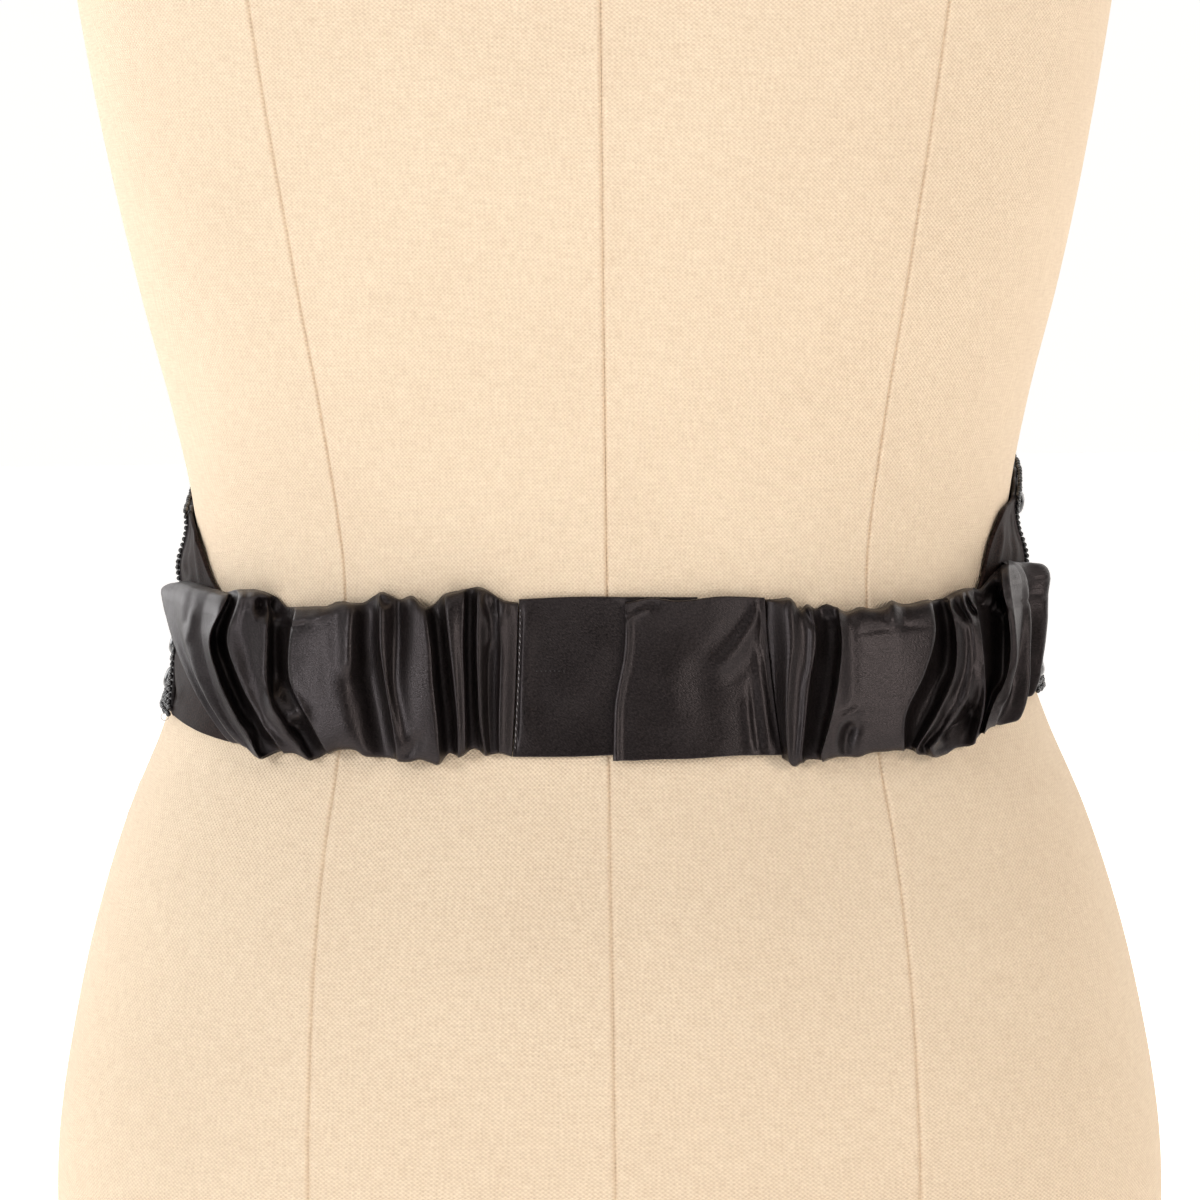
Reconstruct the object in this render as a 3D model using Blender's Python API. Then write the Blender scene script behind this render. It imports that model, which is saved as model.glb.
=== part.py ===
"""A black satin cummerbund with a beaded front, closed at the back of a dress form.

The form faces +Y, so the closure at the centre back faces -Y and the wearer's
left is at -X.  Tables are in millimetres and meshes in metres.  A place on the
cloth is given by three numbers: the arc, which is the distance round the form
from the centre back (plus towards +X), the height above the form's underside,
and the offset, which is the distance out from the form's surface.
"""
import math
from typing import NamedTuple

import bmesh
import bpy
import numpy as np

MM = 0.001

# Driving dimensions, in millimetres
SEAM_GAP = 0.35
EASE = 0.6
SATIN = 1.3
CASING_WALL = 1.0
BEADED_WALL = 2.0
STONE_RISE = 2.6
STONE_SHARE = 0.74
STONE_COLUMNS = 24
STONE_ROWS = 5
STONE_LENGTH = 1.35
STONE_SHOULDER = 0.82
STONE_SHOULDER_RISE = 0.72
FORM_SIDES = 40
FORM_POWER = 2.3
ARC_LEVEL = 250.0
SEAM_LEFT = -25.0
SEAM_RIGHT = 45.0
UNDERLAP_END = 26.0
EDGE_TIP = 0.5
EDGE_POWER = 7.0
EDGE_WALL = 1.5
HOLLOW = 0.3
OFF_SEAM = 3.4
BROAD_SLOPE = 3.0
GROOVE_RUN = 0.1
GROOVE_LIFT = 0.6
SCALLOP = 1.0
SCALLOP_MEAN = 0.4
RAMP_START = 13.0
RAMP_RUN = 8.0
SWELL_WIDTH = 13.0
ROLL_REACH = 1.8
ROLL_RISE = 0.9
CREASE_REACH = 2.4
CREASE_RISE = 1.3
SETTLE_ARC = 30.0
SETTLE_RUN = 12.0
SETTLE_DROP = 0.7


class Section(NamedTuple):
    """A level section of the form: its height, half width and two depths."""
    height: float
    half_width: float
    front: float
    back: float


FORM = (
    Section(0, 165, 112, 112),
    Section(30, 169, 114, 116),
    Section(90, 170, 112, 120),
    Section(128, 164, 108, 119),
    Section(159, 156.7, 103, 114),
    Section(190, 146.6, 97, 105),
    Section(215, 136, 93, 97.5),
    Section(245, 126.5, 91, 92.5),
    Section(270, 123.3, 92, 91),
    Section(283, 124.6, 94, 91),
    Section(314, 130.7, 101, 94),
    Section(345, 138.7, 110, 98),
    Section(376, 145.7, 120, 101.5),
    Section(440, 157, 130, 105),
    Section(500, 164, 116, 104),
    Section(560, 172, 98, 98),
    Section(598, 176, 84, 90),
    Section(620, 163, 74, 80),
    Section(640, 124, 66, 72),
    Section(656, 86, 60, 66),
    Section(672, 64, 57, 61),
    Section(700, 57, 55, 57),
    Section(735, 56, 54, 55),
)
FORM_LEVELS = (0, 14, 30, 60, 90, 120, 148, 172, 194, 212, 230, 247, 264, 282, 302, 326, 352, 384,
               420, 456, 500, 545, 580, 600, 613, 627, 641, 656, 671, 686, 710, 735)
CENTRING = (max(row.back for row in FORM) - max(row.front for row in FORM)) / 2


class Fold(NamedTuple):
    """A gather's crest: its arcs and offsets at the lower edge, middle and upper edge.

    flat is the share of the slope that runs level over the crest.  The groove
    after the fold lies at a share of the way to the next crest and has its own
    offset; open is the share of the slope that runs level along its bottom.
    """
    low: float
    middle: float
    high: float
    off_low: float
    off_middle: float
    off_high: float
    flat: float
    groove: float
    off_groove: float
    open: float


LEFT_FOLDS = (
    Fold(-27.8, -28.4, -28.8, 4.6, 4.8, 4.8, 0.50, 0.50, 3.2, 0.00),
    Fold(-31.0, -32.4, -33.2, 5.8, 6.2, 6.4, 0.50, 0.50, 3.2, 0.10),
    Fold(-34.4, -36.6, -38.2, 6.4, 7.2, 8.0, 0.50, 0.50, 3.2, 0.20),
    Fold(-38.6, -41.0, -44.4, 7.4, 8.0, 8.4, 0.45, 0.50, 3.2, 0.30),
    Fold(-46.0, -51.0, -55.0, 8.2, 8.8, 7.8, 0.60, 0.60, 3.6, 0.15),
    Fold(-55.2, -60.6, -63.6, 7.6, 8.6, 8.2, 0.40, 0.45, 3.2, 0.30),
    Fold(-63.0, -70.4, -76.0, 8.4, 9.6, 7.8, 0.60, 0.50, 4.6, 0.15),
    Fold(-75.0, -84.0, -84.5, 9.8, 10.8, 7.2, 0.80, 0.60, 3.4, 0.35),
    Fold(-83.0, -98.0, -98.5, 8.6, 9.6, 8.0, 0.50, 0.30, 5.6, 0.10),
    Fold(-88.5, -104.0, -110.0, 7.6, 9.8, 9.0, 0.70, 0.55, 3.9, 0.35),
    Fold(-93.5, -112.5, -118.5, 7.2, 9.2, 9.6, 0.50, 0.45, 5.6, 0.10),
    Fold(-97.4, -120.5, -153.0, 6.8, 8.4, 9.6, 0.60, 0.50, 5.4, 0.00),
)
RIGHT_FOLDS = (
    Fold(48.4, 53.0, 55.6, 7.6, 8.6, 8.4, 0.80, 0.45, 3.2, 0.40),
    Fold(54.6, 63.0, 66.0, 8.2, 9.6, 8.6, 0.50, 0.35, 6.2, 0.30),
    Fold(70.0, 80.0, 83.0, 8.8, 9.2, 7.2, 0.85, 0.72, 3.4, 0.35),
    Fold(83.0, 98.6, 103.0, 9.2, 10.2, 8.4, 0.50, 0.35, 5.8, 0.20),
    Fold(90.5, 107.0, 112.0, 9.8, 10.8, 9.2, 0.80, 0.65, 3.6, 0.35),
    Fold(98.0, 122.5, 127.5, 9.0, 10.8, 9.6, 0.55, 0.45, 4.4, 0.20),
    Fold(113.0, 129.5, 140.0, 8.6, 10.6, 10.2, 0.55, 0.40, 5.8, 0.10),
    Fold(120.5, 137.0, 150.5, 7.6, 11.0, 11.2, 0.60, 0.50, 5.2, 0.00),
)


class Edge(NamedTuple):
    """The heights of a band's lower and upper edges at an arc."""
    arc: float
    low: float
    high: float


LEFT_EDGES = (
    Edge(-165, 240, 261),
    Edge(-140, 226, 262),
    Edge(-118, 220, 261.5),
    Edge(-105, 217.8, 261.5),
    Edge(-92, 215, 258),
    Edge(-78, 215, 260),
    Edge(-64, 217, 261.8),
    Edge(-50, 216, 260.5),
    Edge(-38, 217, 263.2),
    Edge(-25, 216.5, 260.3),
)
RIGHT_EDGES = (
    Edge(45, 215.5, 260),
    Edge(57, 213.8, 257.5),
    Edge(75, 215.5, 256),
    Edge(90, 213.5, 257),
    Edge(105, 214.5, 258.5),
    Edge(120, 219.5, 261),
    Edge(137, 226, 265.5),
    Edge(160, 236, 263),
)
UNDERLAP_EDGES = (
    Edge(-26, 216.3, 260.6),
    Edge(-10, 216.2, 261.2),
    Edge(5, 216.6, 261.0),
    Edge(27, 216.0, 260.5),
)
OVERLAP_EDGES = (
    Edge(0, 215.3, 260.2),
    Edge(8, 215.2, 260.6),
    Edge(20, 215.3, 260.0),
    Edge(32, 215.6, 260.5),
    Edge(45, 215.5, 260.0),
)
# The plain tabs and the beaded front, from the right casing round the front to the left one
FRONT_EDGES = (
    Edge(90, 218, 254),
    Edge(112, 220, 255),
    Edge(124, 222.5, 260),
    Edge(132, 225, 272),
    Edge(140, 225.5, 280),
    Edge(148, 226, 282),
    Edge(158, 226, 283.5),
    Edge(168, 225.5, 288.5),
    Edge(190, 223, 295),
    Edge(240, 217, 305),
    Edge(300, 212, 314),
    Edge(352, 210, 318),
    Edge(404, 212, 314),
    Edge(464, 217, 303),
    Edge(505, 221, 290),
    Edge(525, 223, 283.5),
    Edge(538, 223.5, 281.5),
    Edge(546, 223.5, 279.5),
    Edge(555, 222.8, 274.5),
    Edge(565, 221.5, 265.5),
    Edge(575, 220, 259.5),
    Edge(591, 218, 255),
    Edge(613, 216.5, 254),
)


class Slant(NamedTuple):
    """A line across the band: its arcs at the lower edge, middle and upper edge."""
    low: float
    middle: float
    high: float


CASING_END_LEFT = Slant(-101.8, -127.5, -163.0)
CASING_END_RIGHT = Slant(125.0, 142.5, 155.5)


class Seam(NamedTuple):
    """A point of a seam that crosses the band: its height and its arc."""
    height: float
    arc: float


TAB_START_LEFT = (Seam(210, -88), Seam(238, -108), Seam(262, -126))
TAB_START_RIGHT = (Seam(210, 95), Seam(238, 112), Seam(262, 124))
BEAD_LINE_LEFT = (Seam(218, -140), Seam(226, -147), Seam(236, -157), Seam(246, -162.5),
                  Seam(262, -165), Seam(285, -166))
BEAD_LINE_RIGHT = (Seam(222, 141), Seam(232, 148), Seam(246, 153), Seam(262, 156), Seam(285, 158))
OVERLAP_EDGE = (Seam(214, 0.9), Seam(222, 1.1), Seam(231, 1.6), Seam(246, 4.5), Seam(262, 5.0))
OVERLAP_CREASE = (Seam(236, 28.1), Seam(262, 46.8))


class Swell(NamedTuple):
    """A soft rise of the cloth: where it is highest, how far it reaches and how much it rises."""
    arc: float
    height: float
    arc_reach: float
    reach: float
    rise: float


OVERLAP_SWELL = Swell(18, 233, 7, 10, 1.5)
# At the bead lines, where arcs count from the line itself
LINE_SWELLS = (Swell(0, 248, SWELL_WIDTH, 16, 1.6), Swell(0, 266, SWELL_WIDTH, 8, 3.4))

CASING_FACE = (-1.0, -0.95, -0.82, -0.5, 0.0, 0.5, 0.82, 0.95, 1.0)
CASING_BACK = (0.92, 0.5, 0.17, -0.17, -0.5, -0.92)


def smooth(rows, place, column):
    """Read a column of a table at places in its first column, on a smooth curve."""
    table = np.array(rows, dtype=float)
    x, y = table[:, 0], table[:, column]
    slope = np.gradient(y, x)
    place = np.clip(np.asarray(place, dtype=float), x[0], x[-1])
    i = np.clip(np.searchsorted(x, place) - 1, 0, len(x) - 2)
    step = x[i + 1] - x[i]
    t = (place - x[i]) / step
    ends = (2 * t ** 3 - 3 * t ** 2 + 1) * y[i] + (3 * t ** 2 - 2 * t ** 3) * y[i + 1]
    turns = (t ** 3 - 2 * t ** 2 + t) * slope[i] + (t ** 3 - t ** 2) * slope[i + 1]
    return ends + step * turns


def section_point(angle, height):
    """A point of the form's section; angle 0 is the centre back and 90 degrees +X."""
    half_width = smooth(FORM, height, 1)
    depth = np.where(np.cos(angle) > 0, smooth(FORM, height, 3), smooth(FORM, height, 2))
    power = 2 / FORM_POWER
    x = half_width * np.sign(np.sin(angle)) * np.abs(np.sin(angle)) ** power
    y = -depth * np.sign(np.cos(angle)) * np.abs(np.cos(angle)) ** power
    return x, y + CENTRING


ANGLES = np.linspace(-math.pi, math.pi, 7201)
LEVEL_X, LEVEL_Y = section_point(ANGLES, np.full_like(ANGLES, ARC_LEVEL))
ARCS = np.concatenate([[0.0], np.cumsum(np.hypot(np.diff(LEVEL_X), np.diff(LEVEL_Y)))])
GIRTH = ARCS[-1]
ARCS = ARCS - np.interp(0.0, ANGLES, ARCS)


def on_form(arc, height, offset):
    """The place in metres at an arc, a height and an offset out from the form."""
    arc, height, offset = np.broadcast_arrays(*(np.asarray(v, float) for v in (arc, height, offset)))
    wrapped = (arc + GIRTH / 2) % GIRTH - GIRTH / 2
    angle = np.interp(wrapped, ARCS, ANGLES)
    x0, y0 = section_point(angle - 1e-3, height)
    x1, y1 = section_point(angle + 1e-3, height)
    length = np.hypot(x1 - x0, y1 - y0)
    x, y = section_point(angle, height)
    out_x, out_y = (y1 - y0) / length, (x0 - x1) / length
    return np.stack([x + out_x * offset, y + out_y * offset, height], axis=-1) * MM


def slant_arc(line, share):
    """The arc of a slanted line at a share from -1, lower edge, to 1, upper edge."""
    return line.middle + (line.high - line.low) / 2 * share \
        + ((line.high + line.low) / 2 - line.middle) * share ** 2


def swelling(swell, arc, height):
    """How far a swell lifts the cloth at an arc and a height."""
    along, up = (arc - swell.arc) / swell.arc_reach, (height - swell.height) / swell.reach
    return swell.rise * np.exp(-along ** 2 - up ** 2)


def stand_off(arc, height, line_arc):
    """How far the cloth stands out beside a bead line, where the ruffle pushes it."""
    return sum(swelling(swell, arc - line_arc, height) for swell in LINE_SWELLS)


def material(name, colour, roughness, metallic=0.0):
    """A plain material of one colour."""
    shade = bpy.data.materials.new(name)
    shade.use_nodes = True
    surface = shade.node_tree.nodes["Principled BSDF"]
    surface.inputs["Base Color"].default_value = (*colour, 1.0)
    surface.inputs["Roughness"].default_value = roughness
    surface.inputs["Metallic"].default_value = metallic
    return shade


def solid(name, points, faces, shade):
    """One object from points and faces, all facing out."""
    work = bmesh.new()
    corners = [work.verts.new(p) for p in points]
    for face in faces:
        work.faces.new([corners[i] for i in face])
    bmesh.ops.recalc_face_normals(work, faces=work.faces)
    if work.calc_volume(signed=True) < 0:
        bmesh.ops.reverse_faces(work, faces=work.faces)
    bmesh.ops.triangulate(work, faces=work.faces)
    mesh = bpy.data.meshes.new(name)
    work.to_mesh(mesh)
    work.free()
    mesh.shade_smooth()
    mesh.materials.append(shade)
    piece = bpy.data.objects.new(name, mesh)
    bpy.context.collection.objects.link(piece)
    return piece


def strip_faces(columns, rows, start, closed=False):
    """Quads of a grid of points whose rows run first, from a first index."""
    faces = []
    for i in range(columns - 1):
        for j in range(rows if closed else rows - 1):
            k = (j + 1) % rows
            a, b = start + i * rows, start + (i + 1) * rows
            faces.append((a + j, b + j, b + k, a + k))
    return faces


def rim_faces(columns, rows):
    """Quads that close a sheet's rim, from its outer grid to the inner grid after it."""
    rim = [(i, 0) for i in range(columns)] + [(columns - 1, j) for j in range(1, rows)]
    rim += [(i, rows - 1) for i in range(columns - 2, -1, -1)] + [(0, j) for j in range(rows - 2, 0, -1)]
    ring = [i * rows + j for i, j in rim]
    count = columns * rows
    return [(b, a, a + count, b + count) for a, b in zip(ring, ring[1:] + ring[:1])]


def wall(name, outer, inner, shade):
    """A sheet of cloth from grids of its outer and inner points, closed by its rim."""
    columns, rows = outer.shape[:2]
    faces = strip_faces(columns, rows, 0)
    faces += [f[::-1] for f in strip_faces(columns, rows, columns * rows)]
    faces += rim_faces(columns, rows)
    points = np.concatenate([outer.reshape(-1, 3), inner.reshape(-1, 3)])
    return solid(name, points, faces, shade)


def tube(name, outer, inner, shade):
    """A tube of cloth from its outer and inner points, open at both ends."""
    columns, rows = outer.shape[:2]
    count = columns * rows
    faces = strip_faces(columns, rows, 0, True)
    faces += [f[::-1] for f in strip_faces(columns, rows, count, True)]
    for i in (0, columns - 1):
        for j in range(rows):
            a, b = i * rows + j, i * rows + (j + 1) % rows
            faces.append((a, b, b + count, a + count))
    points = np.concatenate([outer.reshape(-1, 3), inner.reshape(-1, 3)])
    return solid(name, points, faces, shade)


def bezier(points, t):
    """A point of the cubic curve through four control points."""
    weights = ((1 - t) ** 3, 3 * t * (1 - t) ** 2, 3 * t ** 2 * (1 - t), t ** 3)
    return sum(w * p for w, p in zip(weights, points))


def crest_line(fold, share):
    """A crest's arc and offset across the band."""
    offsets = Slant(fold.off_low, fold.off_middle, fold.off_high)
    return slant_arc(Slant(fold.low, fold.middle, fold.high), share), slant_arc(offsets, share)


def gathers(folds, seam, end, share):
    """The arc, offset and crest share of every column of gathered cloth across the band.

    The columns run from the seam to the casing's end, over each crest and into
    the groove after it; each half fold is one smooth slope.
    """
    keys = [(np.full_like(share, seam), np.full_like(share, OFF_SEAM), 0.0)]
    shapes = []
    opening = 0.0
    for here, after in zip(folds, folds[1:] + (None,)):
        arc, off = crest_line(here, share)
        keys.append((arc, off, 1.0))
        shapes += [(here.flat, opening), (here.flat, here.open)]
        opening = here.open
        next_arc = crest_line(after, share)[0] if after else slant_arc(end, share)
        place = here.groove if after else 1.0
        keys.append((arc + (next_arc - arc) * place, np.full_like(share, here.off_groove), 0.0))
    columns = [keys[0]]
    for first, last, (flat, opening) in zip(keys, keys[1:], shapes):
        rising = last[2] > first[2]
        groove, crest = (first, last) if rising else (last, first)
        run, rise = crest[0] - groove[0], crest[1] - groove[1]
        arcs = (groove[0], groove[0] + (GROOVE_RUN + opening) * run, crest[0] - flat * run, crest[0])
        offs = (groove[1], groove[1] + GROOVE_LIFT * (1 - 2 * opening) * rise, crest[1], crest[1])
        steps = 3 if np.abs(run).mean() > BROAD_SLOPE else 2
        for step in range(1, steps + 1):
            t = step / steps if rising else 1 - step / steps
            columns.append((bezier(arcs, t), bezier(offs, t), 1 - (1 - t) ** 2))
    return columns


def casing(name, folds, edges, seam, end, tab_start, bead_line, shade):
    """A gathered tube of satin: a ruffled face over a plain back, open at its ends."""
    share = np.array(CASING_FACE + CASING_BACK)
    faces = np.arange(len(share)) < len(CASING_FACE)
    fullness = faces * (EDGE_TIP + (1 - EDGE_TIP) * np.sqrt(1 - np.abs(share) ** EDGE_POWER))
    columns = gathers(folds, seam, end, share)
    arc = np.array([column[0] for column in columns])
    bulge = np.array([column[1] - EASE for column in columns]) * fullness
    crest = np.array([column[2] for column in columns])[:, None]
    low = smooth(edges, arc[:, :1], 1)
    high = smooth(edges, arc[:, len(CASING_FACE) - 1:len(CASING_FACE)], 2)
    middle, half = (low + high) / 2, (high - low) / 2
    scallop = SCALLOP * (crest - SCALLOP_MEAN) * share ** 5
    height = middle + half * share + scallop
    rear = rear_offset(arc, height, math.copysign(1.0, seam), tab_start, bead_line)
    outer = on_form(arc, height, rear + bulge)
    worn = np.pad(bulge, ((1, 1), (0, 0)), mode="edge")
    hollow = np.minimum(np.minimum(worn[:-2], worn[2:]), worn[1:-1]) - 2 * CASING_WALL
    hollow = np.maximum(hollow, HOLLOW) * faces
    height = middle + (half - EDGE_WALL) * share + scallop
    inner = on_form(arc, height, rear + CASING_WALL + hollow)
    return tube(name, outer, inner, shade)


def rear_offset(arc, height, side, tab_start, bead_line):
    """The offset of a casing's back, which rises from the form onto the side tab."""
    past = side * (arc - smooth(tab_start, height, 1))
    ramp = np.clip((past + RAMP_START) / RAMP_RUN, 0.0, 1.0)
    ramp = ramp * ramp * (3 - 2 * ramp)
    lift = SATIN + SEAM_GAP + stand_off(arc, height, smooth(bead_line, height, 1))
    return EASE + ramp * lift


def grid(start, end, edges, columns, rows):
    """Arcs and heights of a flat piece between two seams and its edges."""
    run = np.linspace(0, 1, columns)[:, None]
    share = np.linspace(0, 1, rows)
    low, high = np.full_like(run, start[0].height), np.full_like(run, start[-1].height)
    for _ in range(6):
        low = smooth(edges, across(start, end, low, run), 1)
        high = smooth(edges, across(start, end, high, run), 2)
    height = low + (high - low) * share
    return across(start, end, height, run), height


def across(start, end, height, run):
    """The arc at a height and a share of the way from one seam to another."""
    first, last = smooth(start, height, 1), smooth(end, height, 1)
    return first + (last - first) * run


def shifted(seam, distance):
    """A seam moved along the band."""
    return tuple(Seam(point.height, point.arc + distance) for point in seam)


def upright(arc):
    """A seam that crosses the band straight up."""
    return Seam(200, arc), Seam(300, arc)


def closure(shade):
    """The two flat pieces of the closure, the upper one lapped over the lower one."""
    arc, height = grid(upright(SEAM_LEFT), upright(UNDERLAP_END), UNDERLAP_EDGES, 11, 7)
    wall("closure_underlap", on_form(arc, height, EASE + SATIN), on_form(arc, height, EASE), shade)
    arc, height = grid(OVERLAP_EDGE, upright(SEAM_RIGHT), OVERLAP_EDGES, 16, 9)
    rear = EASE + SATIN + SEAM_GAP - SETTLE_DROP * np.clip((arc - SETTLE_ARC) / SETTLE_RUN, 0, 1)
    rear = rear + overlap_relief(arc, height)
    wall("closure_overlap", on_form(arc, height, rear + SATIN), on_form(arc, height, rear), shade)


def overlap_relief(arc, height):
    """The soft forms of the overlap: its rolled edge, a swell and a slanting crease."""
    rolled = ROLL_RISE * np.exp(-((arc - smooth(OVERLAP_EDGE, height, 1)) / ROLL_REACH) ** 2)
    aside = (arc - smooth(OVERLAP_CREASE, height, 1)) / CREASE_REACH
    start = OVERLAP_CREASE[0].height
    crease = CREASE_RISE * np.exp(-aside ** 2) * np.clip((height - start) / 8, 0, 1)
    return rolled + swelling(OVERLAP_SWELL, arc, height) + crease


def tab(name, start, bead_line, gap, columns, shade):
    """A plain satin end piece between a casing and the beaded front."""
    arc, height = grid(start, shifted(bead_line, -gap), FRONT_EDGES, columns, 9)
    rear = EASE + stand_off(arc, height, smooth(bead_line, height, 1))
    wall(name, on_form(arc, height, rear + SATIN), on_form(arc, height, rear), shade)


def front_places(columns, rows):
    """Arcs, heights and offsets of the beaded front's inner face."""
    right, left = BEAD_LINE_RIGHT, shifted(BEAD_LINE_LEFT, GIRTH)
    arc, height = grid(right, left, FRONT_EDGES, columns, rows)
    offset = EASE + stand_off(arc, height, smooth(right, height, 1)) \
        + stand_off(arc, height, smooth(left, height, 1))
    return arc, height, offset


def beaded_front(shade):
    """The beaded panel: large oval stones raised on a trellis over a plain inside."""
    columns, rows = 2 * STONE_COLUMNS + 1, 2 * STONE_ROWS + 1
    arc, height, offset = front_places(columns, rows)
    outer = on_form(arc, height, offset + BEADED_WALL)
    inner = on_form(arc, height, offset)
    points = list(outer.reshape(-1, 3)) + list(inner.reshape(-1, 3))
    faces = [f[::-1] for f in strip_faces(columns, rows, columns * rows)]
    faces += rim_faces(columns, rows)
    covered = set()
    for row in range(STONE_ROWS):
        j = 2 * row + 1
        for i in range(1 + 2 * (row % 2), columns - 1, 4):
            covered.update({(i - 1, j - 1), (i, j - 1), (i - 1, j), (i, j)})
            around = ((1, 0), (1, 1), (0, 1), (-1, 1), (-1, 0), (-1, -1), (0, -1), (1, -1))
            border = [(i + di) * rows + j + dj for di, dj in around]
            stone(points, faces, border, (arc[i, j], height[i, j], offset[i, j] + BEADED_WALL),
                  (arc[i + 1, j] - arc[i - 1, j]) / 2, (height[i, j + 1] - height[i, j - 1]) / 2)
    for i in range(columns - 1):
        for j in range(rows - 1):
            if (i, j) not in covered:
                a, b = i * rows + j, (i + 1) * rows + j
                faces.append((a, b, b + 1, a + 1))
    solid("beaded_front", points, faces, shade)


def stone(points, faces, border, place, half_arc, half_height):
    """An oval stone raised inside a ring of eight border points."""
    arc, height, offset = place
    half_arc = half_arc * STONE_SHARE
    half_height = min(half_height * STONE_SHARE, half_arc * STONE_LENGTH)
    rings = [border]
    for size, rise in ((1.0, 0.0), (STONE_SHOULDER, STONE_SHOULDER_RISE)):
        first = len(points)
        for k in range(len(border)):
            turn = math.tau * k / len(border)
            points.append(on_form(arc + half_arc * size * math.cos(turn),
                                  height + half_height * size * math.sin(turn),
                                  offset + STONE_RISE * rise))
        rings.append(list(range(first, first + len(border))))
    for outside, inside in zip(rings, rings[1:]):
        for k in range(len(border)):
            n = (k + 1) % len(border)
            faces.append((outside[k], outside[n], inside[n], inside[k]))
    top = len(points)
    points.append(on_form(arc, height, offset + STONE_RISE))
    for k in range(len(border)):
        faces.append((rings[-1][k], rings[-1][(k + 1) % len(border)], top))


def dress_form(shade):
    """The limbless linen form, from its flat underside to the top of its neck."""
    arcs = np.arange(FORM_SIDES) * GIRTH / FORM_SIDES
    points = np.array([on_form(arcs, np.full(FORM_SIDES, float(level)), 0.0) for level in FORM_LEVELS])
    faces = strip_faces(len(FORM_LEVELS), FORM_SIDES, 0, True)
    last = (len(FORM_LEVELS) - 1) * FORM_SIDES
    faces.append(tuple(range(FORM_SIDES)))
    faces.append(tuple(range(last, last + FORM_SIDES)))
    solid("dress_form", points.reshape(-1, 3), faces, shade)


def main():
    for item in list(bpy.data.objects):
        bpy.data.objects.remove(item)
    linen = material("linen", (0.83, 0.70, 0.52), 0.9)
    satin = material("satin", (0.012, 0.010, 0.012), 0.42)
    beading = material("beading", (0.010, 0.010, 0.011), 0.18)
    dress_form(linen)
    closure(satin)
    casing("casing_left", LEFT_FOLDS, LEFT_EDGES, SEAM_LEFT - SEAM_GAP, CASING_END_LEFT,
           TAB_START_LEFT, BEAD_LINE_LEFT, satin)
    casing("casing_right", RIGHT_FOLDS, RIGHT_EDGES, SEAM_RIGHT + SEAM_GAP, CASING_END_RIGHT,
           TAB_START_RIGHT, BEAD_LINE_RIGHT, satin)
    tab("side_tab_left", shifted(TAB_START_LEFT, GIRTH), shifted(BEAD_LINE_LEFT, GIRTH), -SEAM_GAP, 16,
        satin)
    tab("side_tab_right", TAB_START_RIGHT, BEAD_LINE_RIGHT, SEAM_GAP, 14, satin)
    beaded_front(beading)


main()
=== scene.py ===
"""Looks for a black satin cummerbund with a beaded front, worn closed at the back of a dress form.

The form faces +Y, so the closure at the centre back faces -Y.  Tables are in
millimetres.  A place on the cloth is an arc, which is the distance round the form
from the centre back (plus towards +X), a height above the form's underside, and an
offset, which is the distance out from the form's surface.
"""
import math
from typing import NamedTuple

import bpy
import numpy as np
from mathutils import Matrix, Vector


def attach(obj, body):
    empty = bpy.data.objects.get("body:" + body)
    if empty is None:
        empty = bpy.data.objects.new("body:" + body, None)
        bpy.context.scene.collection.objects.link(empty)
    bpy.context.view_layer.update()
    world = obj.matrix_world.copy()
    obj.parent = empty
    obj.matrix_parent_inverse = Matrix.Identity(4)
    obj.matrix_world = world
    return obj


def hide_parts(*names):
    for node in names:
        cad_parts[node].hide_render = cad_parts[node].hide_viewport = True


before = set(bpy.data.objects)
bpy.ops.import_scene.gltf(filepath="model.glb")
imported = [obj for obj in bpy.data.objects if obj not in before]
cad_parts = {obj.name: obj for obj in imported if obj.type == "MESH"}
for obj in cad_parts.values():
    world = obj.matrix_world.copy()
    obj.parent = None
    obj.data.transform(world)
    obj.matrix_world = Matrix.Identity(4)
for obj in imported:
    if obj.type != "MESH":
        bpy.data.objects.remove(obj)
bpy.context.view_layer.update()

bl_info = {
    "name": "Beaded cummerbund looks",
    "version": (1, 0, 0),
    "blender": (4, 5, 0),
    "location": "3D View > Sidebar > Cummerbund",
    "description": "Dresses a cummerbund and its form in satin, linen, thread and beads",
    "category": "Object",
}

MM = 0.001

# The form and the band, in millimetres
FORM_POWER = 2.3
FORM_SHIFT = -5.0
FORM_TOP = 735.0
ARC_LEVEL = 250.0
EASE = 0.6
SATIN = 1.3
SEAM_GAP = 0.35
BEADED_WALL = 2.0
SEAM_LEFT = -25.0
SEAM_RIGHT = 45.0
UNDERLAP_END = 26.0
STONE_COLUMNS = 24
STONE_ROWS = 5
STONE_SHARE = 0.74
STONE_LENGTH = 1.35
STONE_RISE = 2.6
SEED = 7


class Section(NamedTuple):
    """A level section of the form: its height, half width and two depths."""
    height: float
    half_width: float
    front: float
    back: float


FORM = (
    Section(0, 165, 112, 112),
    Section(30, 169, 114, 116),
    Section(90, 170, 112, 120),
    Section(128, 164, 108, 119),
    Section(159, 156.7, 103, 114),
    Section(190, 146.6, 97, 105),
    Section(215, 136, 93, 97.5),
    Section(245, 126.5, 91, 92.5),
    Section(270, 123.3, 92, 91),
    Section(283, 124.6, 94, 91),
    Section(314, 130.7, 101, 94),
    Section(345, 138.7, 110, 98),
    Section(376, 145.7, 120, 101.5),
    Section(440, 157, 130, 105),
    Section(500, 164, 116, 104),
    Section(560, 172, 98, 98),
    Section(598, 176, 84, 90),
    Section(620, 163, 74, 80),
    Section(640, 124, 66, 72),
    Section(656, 86, 60, 66),
    Section(672, 64, 57, 61),
    Section(700, 57, 55, 57),
    Section(735, 56, 54, 55),
)


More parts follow.
